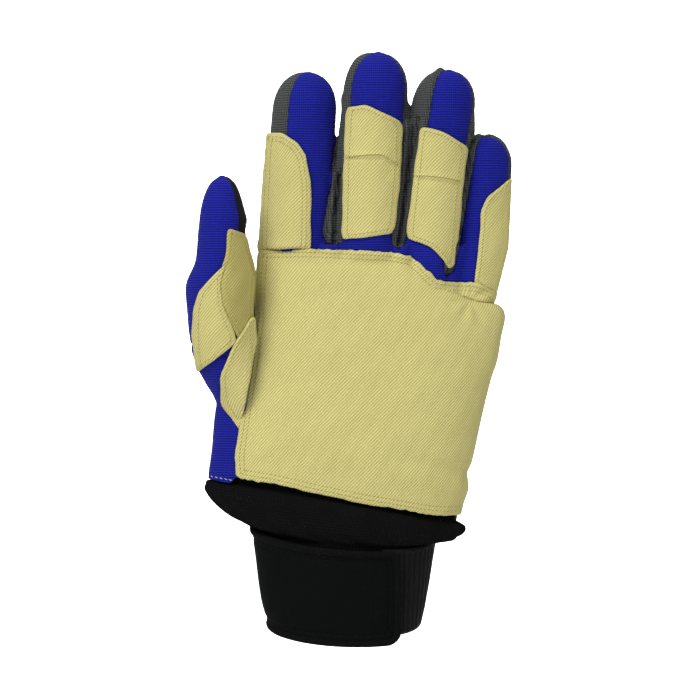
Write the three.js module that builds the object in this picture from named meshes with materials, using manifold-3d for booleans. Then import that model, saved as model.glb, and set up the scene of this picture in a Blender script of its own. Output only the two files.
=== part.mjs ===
// A left-hand fishing glove for handling wire leaders, held open as on a hand.
// The palm faces -Y, the fingers point along +Z and the thumb lies on the -X side.
// The origin is the centre of the wrist opening. All sizes are in millimetres.
import * as THREE from "three";
import { mergeVertices } from "three/addons/utils/BufferGeometryUtils.js";
import Module from "manifold-3d";

const wasm = await Module();
wasm.setup();

// Driving dimensions of the hand form: the outside of the base cloth
const palmLength = 112; // from the wrist hem to the finger webs
const palmBreadth = 112; // across the knuckles
const palmDepth = 34;
const rootDepth = 34; // how far each finger tube runs down into the palm
const fingerCurl = 11; // how far the fingertips come forward
const tipRoundness = 0.62; // length of a fingertip's dome, as a share of the finger's width
const thumbLength = 114; // from inside the heel of the palm to the thumb's tip
const thumbWidth = 31;
const thumbDepth = 32;

// Driving dimensions of the wrist
const bandHeight = 43;
const wristLift = 7; // height of the opening's middle over its lowest edge, at the front
const wristPitch = 0.25; // rise of the wrist's rings from front to back, per millimetre
const knitRise = 13; // knit that shows between the band and the hem
const wristBreadth = 80;
const wristDepth = 56;
const bandWall = 2.6;
const knitCuffWall = 2.2;
const gripWall = 2.2;
const gripDrop = 3; // how much lower the grip's top edge lies than the strap's
const gripLap = 8; // length of grip that is hidden under the strap's end
const tabEnd = 24.5; // place of the strap's end, to the right of the centre line
const tabCorner = 6; // radius of the strap end's corners
const grooveDepth = 0.8;
const grooveWidth = 0.9;
const groovePitch = 2.6;
const grooveCount = 10;
const bindingWidth = 3.2;
const bindingWall = 0.8;
const gatherDepth = 0.6;
const gatherCount = 12;

// Cloth thicknesses and clearances
const knitWall = 1.6;
const patchWall = 1.3;
const ply = 0.3; // air between two layers of cloth, and between two edges at a seam
const smallestCutting = 8; // cubic millimetres of cloth that are trimmed away beside a cut
const puff = 2.2; // how far the palm patch stands off the hand
const tuckRelief = 0.8; // how far a tuck stands out from its patch
const tuckHeight = 2.2;

const bandTop = wristLift + bandHeight;
const hemZ = bandTop + knitRise;
const webZ = hemZ + palmLength;

// Each finger: sizes in millimetres; root, base and tip are its places across the palm as shares of
// palmBreadth, back is how far it lies towards the back as a share of palmDepth, and waist narrows its base.
const fingers = {
  index: { length: 77, width: 30, depth: 25, root: -0.165, base: -0.193, tip: -0.138, back: 0, waist: 1 },
  middle: { length: 85.5, width: 30.6, depth: 26, root: 0.085, base: 0.088, tip: 0.126, back: -0.05, waist: 1 },
  ring: { length: 78, width: 28, depth: 24.5, root: 0.3, base: 0.335, tip: 0.398, back: -0.03, waist: 0.93 },
  little: { length: 50, width: 24.6, depth: 21.5, root: 0.455, base: 0.531, tip: 0.553, back: 0.12, waist: 1 },
};
// Where each finger's front panel ends, as shares of its half width
const seams = {
  index: { left: -0.52, right: 0.86 },
  middle: { left: -0.72, right: 0.74 },
  ring: { left: -0.62, right: 0.76 },
  little: { left: -0.6, right: 1.4 },
};

const reach = 2 * (palmLength + fingers.middle.length); // farther than any piece extends

// Sections of the palm, from the wrist to the webs. up is a share of palmLength above the hem,
// left and right are shares of palmBreadth, front and back of palmDepth, lean is the ring's slope.
const palmSections = [
  { up: -0.13, left: -0.535, right: 0.43, front: 0.66, back: 0.66, lean: 0 },
  { up: 0.06, left: -0.54, right: 0.461, front: 0.63, back: 0.63, lean: 0 },
  { up: 0.2, left: -0.526, right: 0.493, front: 0.6, back: 0.6, lean: 0 },
  { up: 0.36, left: -0.51, right: 0.528, front: 0.56, back: 0.57, lean: 0 },
  { up: 0.48, left: -0.48, right: 0.558, front: 0.52, back: 0.55, lean: 0 },
  { up: 0.58, left: -0.43, right: 0.585, front: 0.49, back: 0.53, lean: -0.03 },
  { up: 0.7, left: -0.372, right: 0.6, front: 0.47, back: 0.5, lean: -0.08 },
  { up: 0.84, left: -0.335, right: 0.615, front: 0.43, back: 0.44, lean: -0.18 },
  { up: 0.93, left: -0.33, right: 0.6, front: 0.37, back: 0.38, lean: -0.28 },
];
const palmSquareness = 0.78; // exponent of the palm's rounded section: 1 is an ellipse

// Sections of the thumb. up is a share of thumbLength above its root, across a share of palmBreadth,
// forward, wide and deep are shares of thumbDepth, thumbWidth and thumbDepth.
const thumbRootUp = 0.26; // height of the root above the hem, as a share of palmLength
const thumbSections = [
  { up: 0, across: -0.33, forward: -0.03, wide: 0.8, deep: 0.8 },
  { up: 0.14, across: -0.375, forward: 0.1, wide: 0.98, deep: 1.0 },
  { up: 0.3, across: -0.455, forward: 0.24, wide: 1.0, deep: 1.04 },
  { up: 0.44, across: -0.485, forward: 0.38, wide: 1.0, deep: 1.0 },
  { up: 0.57, across: -0.495, forward: 0.48, wide: 1.03, deep: 0.92 },
  { up: 0.68, across: -0.485, forward: 0.54, wide: 0.84, deep: 0.78 },
  { up: 0.8, across: -0.492, forward: 0.6, wide: 0.73, deep: 0.68 },
  { up: 0.9, across: -0.498, forward: 0.63, wide: 0.58, deep: 0.55 },
  { up: 0.965, across: -0.498, forward: 0.64, wide: 0.39, deep: 0.38 },
  { up: 1, across: -0.496, forward: 0.64, wide: 0.12, deep: 0.12 },
];

// Sections of the knit cuff above the band, from the top down. rise is a share of knitRise above the
// band, left and right are shares of palmBreadth, deep of wristDepth, pitch of wristPitch. lean is the
// ring's slope from left to right.
const knitSections = [
  { rise: 1.25, left: -0.495, right: 0.405, deep: 0.34, lean: -0.168, pitch: 0 },
  { rise: 0.96, left: -0.505, right: 0.41, deep: 0.345, lean: -0.168, pitch: 0 },
  { rise: 0.88, left: -0.545, right: 0.455, deep: 0.42, lean: -0.165, pitch: 0 },
  { rise: 0.62, left: -0.525, right: 0.46, deep: 0.445, lean: -0.13, pitch: 0.3 },
  { rise: 0.37, left: -0.478, right: 0.452, deep: 0.45, lean: -0.1, pitch: 0.7 },
  { rise: 0.18, left: -0.42, right: 0.43, deep: 0.44, lean: -0.08, pitch: 1 },
];

// Sections of the wrist strap's outside, from its lower edge up: up is a share of bandHeight, left
// and right are shares of wristBreadth, deep of wristDepth.
const bandSections = [
  { up: 0, left: -0.415, right: 0.445, deep: 0.46, lean: -0.03 },
  { up: 0.3, left: -0.465, right: 0.48, deep: 0.485, lean: -0.04 },
  { up: 1, left: -0.515, right: 0.54, deep: 0.52, lean: -0.07 },
];

// Outlines of the patches. On the palm, across is a share of palmBreadth and up of palmLength above
// the hem. On a finger, across is a share of its half width from its centre line and up of its length.
const palmOutlines = {
  patch: [
    { across: -0.334, up: 0.99 },
    { across: -0.138, up: 0.993 },
    { across: 0.177, up: 0.978 },
    { across: 0.259, up: 0.962 },
    { across: 0.306, up: 0.922 },
    { across: 0.354, up: 0.871 },
    { across: 0.401, up: 0.863 },
    { across: 0.519, up: 0.86 },
    { across: 0.65, up: 0.8 },
    { across: 0.8, up: 0.6 },
    { across: 0.8, up: -0.03 },
    { across: 0.373, up: -0.05 },
    { across: 0.055, up: 0.005 },
    { across: -0.126, up: 0.043 },
    { across: -0.275, up: 0.078 },
    { across: -0.42, up: 0.1 },
    { across: -0.432, up: 0.184 },
    { across: -0.404, up: 0.364 },
    { across: -0.377, up: 0.546 },
    { across: -0.357, up: 0.706 },
    { across: -0.35, up: 0.836 },
  ],
  leaf: [
    { across: -0.388, up: 0.546 },
    { across: -0.416, up: 0.625 },
    { across: -0.46, up: 0.546 },
    { across: -0.491, up: 0.471 },
    { across: -0.481, up: 0.364 },
    { across: -0.428, up: 0.282 },
    { across: -0.413, up: 0.364 },
  ],
  thumbOuter: [
    { across: -0.472, up: 0.94 },
    { across: -0.562, up: 0.816 },
    { across: -0.581, up: 0.746 },
    { across: -0.581, up: 0.604 },
    { across: -0.571, up: 0.51 },
    { across: -0.527, up: 0.554 },
    { across: -0.428, up: 0.642 },
    { across: -0.475, up: 0.734 },
    { across: -0.488, up: 0.87 },
  ],
  thumbInner: [
    { across: -0.452, up: 1.068 },
    { across: -0.377, up: 1.048 },
    { across: -0.361, up: 0.852 },
    { across: -0.373, up: 0.73 },
    { across: -0.416, up: 0.65 },
    { across: -0.464, up: 0.734 },
    { across: -0.477, up: 0.883 },
    { across: -0.458, up: 1.02 },
  ],
};
const fingerOutlines = {
  index: [
    { across: -1.15, up: 0.67 },
    { across: -0.56, up: 0.659 },
    { across: -0.13, up: 0.6 },
    { across: 0.14, up: 0.524 },
    { across: 0.33, up: 0.348 },
    { across: 0.39, up: -0.005 },
    { across: -1.15, up: -0.005 },
  ],
  middle: [
    { across: -0.76, up: 0.733 },
    { across: -0.27, up: 0.743 },
    { across: 0.76, up: 0.648 },
    { across: 0.78, up: 0.43 },
    { across: 0.71, up: 0.07 },
    { across: -0.25, up: 0.044 },
    { across: -0.7, up: 0.036 },
    { across: -0.78, up: 0.458 },
  ],
  ring: [
    { across: -0.64, up: 0.688 },
    { across: 0.07, up: 0.655 },
    { across: 0.83, up: 0.575 },
    { across: 0.78, up: 0.43 },
    { across: 0.8, up: -0.1 },
    { across: 0.6, up: -0.12 },
    { across: 0.43, up: -0.074 },
    { across: 0, up: 0 },
    { across: -0.73, up: 0.047 },
    { across: -0.68, up: 0.395 },
  ],
  little: [
    { across: 1.5, up: 0.64 },
    { across: 0.95, up: 0.617 },
    { across: 0.155, up: 0.44 },
    { across: -0.03, up: 0.305 },
    { across: -0.06, up: 0.067 },
    { across: 0.08, up: -0.18 },
    { across: 0.2, up: -0.29 },
    { across: 0.75, up: -0.3 },
    { across: 1.8, up: -0.5 },
  ],
};
// The tucks across two of the finger patches, as the line along their middle
const tucks = {
  middle: [
    { across: -0.9, up: 0.458 },
    { across: 0.29, up: 0.459 },
    { across: 0.9, up: 0.4 },
  ],
  ring: [
    { across: -0.9, up: 0.4 },
    { across: 0.09, up: 0.378 },
    { across: 0.9, up: 0.36 },
  ],
};

const hemTilt = 0.168; // fall of the hem towards the little finger, per millimetre across
const rings = { palm: 22, palmInside: 16, finger: 12, fingerInside: 8, cuffInside: 16, band: 2 * gatherCount };

// Helpers

const lerp = THREE.MathUtils.lerp;

/** Turns a closed geometry into a solid. */
function solidOf(geometry) {
  geometry.deleteAttribute("normal");
  geometry.deleteAttribute("uv");
  const merged = mergeVertices(geometry, 1e-4);
  return new wasm.Manifold(
    new wasm.Mesh({
      numProp: 3,
      vertProperties: merged.attributes.position.array,
      triVerts: new Uint32Array(merged.index.array),
    }),
  );
}

/** Leaves out the loose slivers that a cut can leave beside a piece. */
function withoutSlivers(solid) {
  const bodies = solid.decompose();
  return bodies.length > 1 ? union(bodies.filter((body) => body.volume() > smallestCutting)) : solid;
}

/** Turns a solid back into a geometry. */
function geometryOf(solid) {
  const mesh = solid.getMesh();
  const positions = new Float32Array(mesh.numVert * 3);
  for (let i = 0; i < mesh.numVert; i++) {
    for (let k = 0; k < 3; k++) {
      positions[3 * i + k] = mesh.vertProperties[mesh.numProp * i + k];
    }
  }
  const geometry = new THREE.BufferGeometry();
  geometry.setAttribute("position", new THREE.BufferAttribute(positions, 3));
  geometry.setIndex(new THREE.BufferAttribute(mesh.triVerts, 1));
  return geometry;
}

/** Skins closed rings of points, in rising order and anticlockwise seen from above, and caps the ends. */
function loft(loops) {
  const count = loops[0].length;
  const points = loops.flat();
  const faces = [];
  for (let i = 0; i + 1 < loops.length; i++) {
    for (let j = 0; j < count; j++) {
      const a = i * count + j;
      const b = i * count + ((j + 1) % count);
      faces.push(a, b, b + count, a, b + count, a + count);
    }
  }
  const capped = [
    { start: 0, up: false },
    { start: (loops.length - 1) * count, up: true },
  ];
  for (const { start, up } of capped) {
    const centre = new THREE.Vector3();
    for (let j = 0; j < count; j++) centre.addScaledVector(points[start + j], 1 / count);
    const hub = points.push(centre) - 1;
    for (let j = 0; j < count; j++) {
      const a = start + j;
      const b = start + ((j + 1) % count);
      faces.push(hub, up ? a : b, up ? b : a);
    }
  }
  const geometry = new THREE.BufferGeometry().setFromPoints(points);
  geometry.setIndex(faces);
  return solidOf(geometry);
}

/** One ring: a rounded section between left and right, and between front and back. */
function ring({ left, right, front, back, x = 0, y = 0, z, lean = 0, pitch = 0, square = 1, count, flute = 0 }) {
  const middle = (left + right) / 2;
  const loop = [];
  for (let j = 0; j < count; j++) {
    const angle = (2 * Math.PI * j) / count;
    const bend = (value) => Math.sign(value) * Math.abs(value) ** square;
    const swell = flute * Math.cos((count / 2) * angle);
    const across = middle + bend(Math.sin(angle)) * ((right - left) / 2 + swell);
    const cosine = bend(Math.cos(angle));
    const away = -cosine * ((cosine > 0 ? front : back) + swell);
    loop.push(new THREE.Vector3(x + across, y + away, z + lean * across + pitch * away));
  }
  return loop;
}

/** A block whose outline lies in the X-Z plane, from y0 to y1. */
function prism(outline, y0, y1) {
  const shape = new THREE.Shape(outline.map(([x, z]) => new THREE.Vector2(x, z)));
  const geometry = new THREE.ExtrudeGeometry(shape, { depth: y1 - y0, bevelEnabled: false });
  return solidOf(geometry.rotateX(Math.PI / 2).translate(0, y1, 0));
}

/** A block whose outline lies in the Y-Z plane, over the whole breadth. */
function sideProfile(outline) {
  const shape = new THREE.Shape(outline.map(([y, z]) => new THREE.Vector2(y, z)));
  const geometry = new THREE.ExtrudeGeometry(shape, { depth: 2 * reach, bevelEnabled: false });
  return solidOf(geometry.rotateX(Math.PI / 2).rotateZ(Math.PI / 2).translate(-reach, 0, 0));
}

const union = (solids) => solids.reduce((all, solid) => all.add(solid));

// The hand form, at any offset from the outside of the base cloth

/** The forward bow of the fingers at a height. */
function curlAt(z) {
  const along = Math.max(0, (z - webZ) / fingers.middle.length);
  return -fingerCurl * along ** 1.6;
}

/** Centre and half sizes of a finger at a height above the webs. */
function fingerAt(finger, z, offset = 0) {
  const along = (z - webZ) / finger.length;
  const across = along < 0 ? lerp(finger.base, finger.root, (webZ - z) / rootDepth) : lerp(finger.base, finger.tip, along);
  const tipZ = webZ + finger.length + offset;
  const dome = tipRoundness * finger.width;
  const climb = THREE.MathUtils.clamp((z - tipZ + dome) / dome, 0, 1);
  const share = Math.sqrt(Math.max(0, 1 - climb ** 2.3));
  const waist = lerp(finger.waist, 1, THREE.MathUtils.clamp(along * 2.5, 0, 1));
  return {
    x: across * palmBreadth,
    y: curlAt(z) + finger.back * palmDepth,
    half: share * waist * (finger.width / 2 + offset) + 0.05,
    deep: share * (finger.depth / 2 + offset) + 0.05,
  };
}

/** Heights of a finger's sections, closer together over the dome of the tip. */
function fingerHeights(finger, offset) {
  const tipZ = webZ + finger.length + offset;
  const dome = tipRoundness * finger.width;
  const root = [-1, -0.4].map((share) => webZ + share * rootDepth);
  const shaft = [0.05, 0.3, 0.55].map((share) => webZ + share * (finger.length - dome * 0.6));
  const tip = [0, 0.45, 0.75, 0.92, 0.99].map((share) => tipZ - dome * (1 - share));
  return [...root, ...shaft, ...tip];
}

function fingerForm(finger, offset, count) {
  const loops = fingerHeights(finger, offset).map((z) => {
    const at = fingerAt(finger, z, offset);
    return ring({ left: -at.half, right: at.half, front: at.deep, back: at.deep, x: at.x, y: at.y, z, count });
  });
  return loft(loops);
}

function thumbAt(section, offset = 0) {
  return {
    x: section.across * palmBreadth,
    y: -section.forward * thumbDepth,
    z: hemZ + thumbRootUp * palmLength + section.up * thumbLength + (section.up > 0.9 ? offset : 0),
    half: (section.wide * thumbWidth) / 2 + offset,
    deep: (section.deep * thumbDepth) / 2 + offset,
  };
}

function thumbForm(offset, count) {
  const loops = thumbSections.map((section) => {
    const { x, y, z, half, deep } = thumbAt(section, offset);
    const width = Math.max(half, 0.3);
    const depth = Math.max(deep, 0.3);
    return ring({ left: -width, right: width, front: depth, back: depth, x, y, z, count });
  });
  return loft(loops);
}

/** The palm without its fingers. bulge swells its front halfway up. */
function palmForm(offset, count, bulge = 0) {
  const first = palmSections[0].up;
  const last = palmSections[palmSections.length - 1].up;
  const loops = palmSections.map(({ up, left, right, front, back, lean }) => {
    const swell = bulge * Math.sin((Math.PI * (up - first)) / (last - first));
    const top = up === last ? offset : 0;
    return ring({
      left: left * palmBreadth - offset,
      right: right * palmBreadth + offset,
      front: front * palmDepth + offset + swell,
      back: back * palmDepth + offset,
      z: hemZ + up * palmLength + top,
      lean,
      square: palmSquareness,
      count,
    });
  });
  return loft(loops);
}

/** The whole hand at an offset from the outside of the base cloth. */
function handForm(offset, inside = false, bulge = 0) {
  const fingerCount = inside ? rings.fingerInside : rings.finger;
  const palmCount = inside ? rings.palmInside : rings.palm;
  const tubes = Object.values(fingers).map((finger) => fingerForm(finger, offset, fingerCount));
  return union([palmForm(offset, palmCount, bulge), thumbForm(offset, fingerCount), ...tubes]);
}

/** The line of the wrist hem at a place across the palm. */
const hemAt = (x) => hemZ - hemTilt * x;

/** Everything above a line that runs with the hem. */
function aboveHem(rise) {
  const left = [-reach, hemAt(-reach) + rise];
  const right = [reach, hemAt(reach) + rise];
  return prism([left, right, [reach, 2 * reach], [-reach, 2 * reach]], -reach, reach);
}

// Cutters that part the hand's shell into its sewn pieces

const overTip = 4; // how far a cutter runs past a fingertip
const zoneMargin = 1.2; // room between the thumb and the block that cuts round it
const wrapShare = 0.325; // where the back's cloth starts round the index finger, as a share of its length
const padShare = 0.2; // how far forward of the palm's middle the thumb's side patches end, as a share of its depth

/** A block that follows a finger's centre line between two shares of its half width. */
function alongFinger(finger, from, to, y0, y1, grow = 0, bottom = webZ - 1) {
  const heights = [bottom, ...fingerHeights(finger, 0).filter((z) => z > bottom + 1), webZ + finger.length + overTip];
  const loops = heights.map((z) => {
    const at = fingerAt(finger, Math.min(z, webZ + finger.length - ply));
    const middle = at.x;
    const left = middle + from * at.half - grow;
    const right = middle + to * at.half + grow;
    const lowY = at.y + y0 - grow;
    const highY = at.y + y1 + grow;
    const level = z === bottom ? z - grow : z;
    return [
      new THREE.Vector3(left, lowY, level),
      new THREE.Vector3(right, lowY, level),
      new THREE.Vector3(right, highY, level),
      new THREE.Vector3(left, highY, level),
    ];
  });
  return loft(loops);
}

/** Everything in front of the side seam, or of a plane that lies grow behind it. */
function frontHalf(grow = 0) {
  const top = webZ + fingers.middle.length + 2 * overTip;
  const heights = [0, webZ, ...[0.25, 0.5, 0.75, 1].map((share) => webZ + share * fingers.middle.length), top];
  const seam = heights.map((z) => [curlAt(z) + grow, z]);
  return sideProfile([[-reach, 0], ...seam, [-reach, top]]);
}

const pairs = [
  { name: "fourchette_index_middle", left: "index", right: "middle", low: 0.93 },
  { name: "fourchette_middle_ring", left: "middle", right: "ring", low: 0.9 },
  { name: "fourchette_ring_little", left: "ring", right: "little", low: 0.8 },
];

/** The strip that runs down one finger's side, round the web and up the next. */
function sideStrip({ left, right, low }, grow = 0) {
  const leftFinger = fingers[left];
  const rightFinger = fingers[right];
  const bottom = hemZ + low * palmLength;
  const overhang = 1.5;
  const down = alongFinger(leftFinger, seams[left].right, overhang, -palmDepth, palmDepth, grow, bottom);
  const up = alongFinger(rightFinger, -overhang, seams[right].left, -palmDepth, palmDepth, grow, bottom);
  return down.add(up);
}

/** A block round the thumb, from part way up its root. */
function thumbZone(grow = 0) {
  const loops = thumbSections.slice(2).map((section, row) => {
    const { x, y, z, half, deep } = thumbAt(section);
    const margin = zoneMargin + grow;
    const level = row === 0 ? z - grow : z + (section.up === 1 ? overTip : 0);
    const size = { left: -half - margin, right: half + margin, front: deep + margin + overTip, back: deep + margin };
    return ring({ ...size, x, y, z: level, lean: row < 2 ? -0.35 : 0, count: rings.fingerInside });
  });
  return loft(loops);
}

/** The inner and back side of the thumb, whose cloth is another one than its pad's. */
function thumbBackZone(grow = 0) {
  const blocks = [
    { from: -2, to: 2, y0: 0.42, y1: 2.5 },
    { from: 0.72, to: 2, y0: -2, y1: 2.5 },
  ];
  return union(
    blocks.map(({ from, to, y0, y1 }) =>
      loft(
        thumbSections.slice(1).map((section) => {
          const { x, y, z, half, deep } = thumbAt(section);
          const level = section.up === 1 ? z + overTip : z;
          return [
            new THREE.Vector3(x + from * half - grow, y + y0 * deep - grow, level),
            new THREE.Vector3(x + to * half + grow, y + y0 * deep - grow, level),
            new THREE.Vector3(x + to * half + grow, y + y1 * thumbDepth, level),
            new THREE.Vector3(x + from * half - grow, y + y1 * thumbDepth, level),
          ];
        }),
      ),
    ),
  );
}

/** The part of the back's cloth that wraps round the index finger to its front. */
function indexWrap(grow = 0) {
  const bottom = webZ + wrapShare * fingers.index.length;
  return alongFinger(fingers.index, -2, seams.index.left, -palmDepth, palmDepth, grow, bottom);
}

function baseShell() {
  const wall = handForm(0).subtract(handForm(-knitWall, true));
  return wall.intersect(aboveHem(0));
}

// Patches of twill that are sewn on the shell

/** A layer of cloth over the whole hand, from one offset to another. */
function layerOf(inner, wall, bulge = 0) {
  return handForm(inner + wall, false, bulge).subtract(handForm(inner, false, bulge));
}

/** Turns rows of shares of a finger into x and z. */
function onFinger(finger, rows) {
  return rows.map(({ across, up }) => {
    const z = webZ + up * finger.length;
    return [fingerAt(finger, Math.max(z, webZ - rootDepth)).x + (across * finger.width) / 2, z];
  });
}

/** Turns rows of shares of the palm into x and z. */
const onPalm = (rows) => rows.map(({ across, up }) => [across * palmBreadth, hemZ + up * palmLength]);

/** A band of one height along a line of [x, z] corners. */
function alongLine(line, height) {
  const upper = line.map(([x, z]) => [x, z + height / 2]);
  const lower = line.map(([x, z]) => [x, z - height / 2]);
  return prism([...upper, ...lower.reverse()], -reach, 0);
}

/** A finger's patch, with its tuck where it has one. */
function fingerPatch(name) {
  const finger = fingers[name];
  const outline = prism(onFinger(finger, fingerOutlines[name]), -reach, reach).intersect(frontHalf());
  const plain = layerOf(ply, patchWall).intersect(outline);
  if (!tucks[name]) return plain;
  const ridge = alongLine(onFinger(finger, tucks[name]), tuckHeight).intersect(outline);
  return plain.add(layerOf(ply, patchWall + tuckRelief).intersect(ridge));
}

/** The large palm patch, which stands off the hand between its hems. */
function palmPatch() {
  return layerOf(ply, patchWall, puff).intersect(prism(onPalm(palmOutlines.patch), -reach, 0));
}

/** A patch on the front of the thumb or beside it. */
function sidePatch(name) {
  return layerOf(ply, patchWall).intersect(prism(onPalm(palmOutlines[name]), -reach, -padShare * thumbDepth));
}

// The wrist: knit cuff, ribbed grip and strap

/** The strap's section at a height above its lower edge, on the line through the rows beside it. */
function bandAt(height) {
  const up = height / bandHeight;
  const last = bandSections.length - 1;
  const next = Math.min(last, Math.max(1, bandSections.findIndex((row) => row.up >= up)));
  const upper = up > 1 ? last : next;
  const from = bandSections[upper - 1];
  const to = bandSections[upper];
  const share = (up - from.up) / (to.up - from.up);
  const between = (key) => lerp(from[key], to[key], share);
  return { height, left: between("left"), right: between("right"), deep: between("deep"), lean: between("lean") };
}

/** Rings of the strap's outside at an offset. low and high lengthen them past its two edges. */
function bandRings(offset, { low = 0, high = 0, count = rings.band } = {}) {
  const inner = bandSections.slice(1, -1).map((row) => row.up * bandHeight);
  return [-low, ...inner, bandHeight + high].map(bandAt).map(({ height, left, right, deep, lean }) =>
    ring({
      left: left * wristBreadth - offset,
      right: right * wristBreadth + offset,
      front: deep * wristDepth + offset,
      back: deep * wristDepth + offset,
      z: wristLift + height,
      lean,
      pitch: wristPitch,
      count,
    }),
  );
}

/** The wall between two offsets of the strap's outside, lengthened past its two edges. */
function bandLayer(outer, inner, low = 0, high = 0) {
  const core = loft(bandRings(inner, { low: low + 2, high: high + 2 }));
  return loft(bandRings(outer, { low, high })).subtract(core);
}

/** Height of one of the strap's edges at a place across its front. */
function bandEdge(section, x) {
  const half = section.right * wristBreadth;
  const y = -section.deep * wristDepth * Math.sqrt(1 - (x / half) ** 2);
  return wristLift + section.up * bandHeight + section.lean * x + wristPitch * y;
}

/** The strap's reach round the wrist, less a margin: its front end has round corners. */
function strapReach(margin) {
  const radius = tabCorner - margin;
  const right = tabEnd - margin;
  const bottom = bandEdge(bandSections[0], right - radius) + margin;
  const top = bandEdge(bandSections[bandSections.length - 1], right - radius) - margin;
  const shape = new THREE.Shape();
  shape.moveTo(-reach, -reach);
  shape.lineTo(right - radius, -reach);
  shape.absarc(right - radius, bottom + radius, radius, -Math.PI / 2, 0);
  shape.absarc(right - radius, top - radius, radius, 0, Math.PI / 2);
  shape.lineTo(right - radius, reach);
  shape.lineTo(-reach, reach);
  const front = shape.extractPoints(3).shape.map((point) => [point.x, point.y]);
  const back = [[-reach, -reach], [right, -reach], [right, reach], [-reach, reach]];
  return prism(front, -reach, 0).add(prism(back, 0, reach));
}

const strap = () => bandLayer(0, -bandWall).intersect(strapReach(0));

/** The bound edge: a thin frame on the strap's outside. */
function strapBinding() {
  const edge = bandLayer(ply + bindingWall, ply).intersect(strapReach(0));
  const field = loft(bandRings(2 * bandWall, { low: -bindingWidth, high: -bindingWidth }));
  return edge.subtract(field.intersect(strapReach(bindingWidth)));
}

/** The ribbed grip under the strap's end, with its grooves. */
function ribGrip() {
  const outer = -bandWall - ply;
  const start = tabEnd - gripLap;
  const zone = prism([[start, -reach], [reach, -reach], [reach, reach], [start, reach]], -reach, reach);
  const first = Math.atan2(tabEnd, bandSections[0].deep * wristDepth);
  const skin = bandLayer(outer + 1, outer - grooveDepth, 5, 5);
  const blades = Array.from({ length: grooveCount }, (_, i) => {
    const blade = new THREE.BoxGeometry(grooveWidth, wristBreadth, 4 * bandHeight);
    const turn = first + ((i + 1) * groovePitch) / (wristBreadth / 2);
    return solidOf(blade.translate(0, -wristBreadth / 2, 0).rotateZ(turn));
  });
  const grooves = union(blades.map((blade) => blade.intersect(skin)));
  return bandLayer(outer, outer - gripWall, -gripDrop, 0).intersect(zone).subtract(grooves);
}

/** Rings of the knit cuff at an offset, from inside the strap up into the glove's hem. */
function knitRings(offset, { count = rings.band, flute = 0, past = 0 } = {}) {
  const inset = offset - bandWall - gripWall - 2 * ply;
  const inside = bandRings(inset, { low: past - 1, high: 1.2, count });
  const swell = knitSections.map(({ rise, left, right, deep, lean, pitch }, row) =>
    ring({
      left: left * palmBreadth - offset,
      right: right * palmBreadth + offset,
      front: deep * wristDepth + offset,
      back: deep * wristDepth + offset,
      z: bandTop + rise * knitRise + (row === 0 ? past : 0),
      lean,
      pitch: pitch * wristPitch,
      count,
      flute: row > 2 ? flute : 0,
    }),
  );
  return [...inside, ...swell.reverse()];
}

function knitCuff() {
  const hollow = loft(knitRings(-knitCuffWall, { count: rings.cuffInside, past: 2 }));
  return loft(knitRings(0, { flute: gatherDepth })).subtract(hollow);
}

const part = new THREE.Group();

/** Adds one named piece to the glove. */
function place(name, solid, material) {
  const mesh = new THREE.Mesh(geometryOf(withoutSlivers(solid)), material);
  mesh.name = name;
  part.add(mesh);
}

const cloth = (color, roughness) => new THREE.MeshStandardMaterial({ color, roughness, metalness: 0 });
const blueKnit = cloth(0x2a32b4, 0.85);
const greyMesh = cloth(0x4a4d50, 0.9);
const blackMesh = cloth(0x15161a, 0.9);
const twill = cloth(0xdccf86, 0.9);
const blackKnit = cloth(0x101112, 0.95);
const neoprene = cloth(0x131516, 0.8);
const rubber = cloth(0x1b1c1d, 0.55);

// The shell: palm and finger fronts, backs, side strips and thumb
{
  const shell = baseShell();
  const strips = union(pairs.map((pair) => sideStrip(pair, ply)));
  const trank = shell.subtract(thumbZone(ply)).subtract(strips);
  place("palm_trank", trank.intersect(frontHalf()).subtract(indexWrap(ply)), blueKnit);
  place("back_trank", trank.subtract(frontHalf(ply).subtract(indexWrap())), greyMesh);
  for (const pair of pairs) {
    place(pair.name, shell.intersect(sideStrip(pair)).subtract(thumbZone(ply)), greyMesh);
  }
  const thumb = shell.intersect(thumbZone());
  place("thumb_panel", thumb.subtract(thumbBackZone(ply)), blueKnit);
  place("thumb_back", thumb.intersect(thumbBackZone()), blackMesh);
}

// The patches that are sewn on it
for (const name of Object.keys(fingerOutlines)) {
  place(`${name}_patch`, fingerPatch(name), twill);
}
place("palm_patch", palmPatch(), twill);
place("under_leaf", sidePatch("leaf"), twill);
place("thumb_outer_patch", sidePatch("thumbOuter"), twill);
place("thumb_inner_patch", sidePatch("thumbInner"), twill);

// The wrist
place("cuff_knit", knitCuff(), blackKnit);
place("strap", strap(), neoprene);
place("strap_binding", strapBinding(), neoprene);
place("rib_grip", ribGrip(), rubber);

export default part;
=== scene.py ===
"""Dresses the fishing glove in knit, mesh and twill cloth, with hems, stitches and a wrist strap.

Each group of pieces is a class whose fields are its sizes. Sizes are in metres and are written as
millimetres times MM. The tables hold shares of the named sizes that they follow. The palm faces -Y,
the fingers point along +Z and the thumb lies on the -X side.
"""

from __future__ import annotations

import logging
import math
from dataclasses import dataclass, field
from enum import Enum
from functools import partial
from itertools import pairwise
from typing import Callable, Optional

import bpy
import numpy as np
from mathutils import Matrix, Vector
from mathutils.bvhtree import BVHTree

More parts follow.
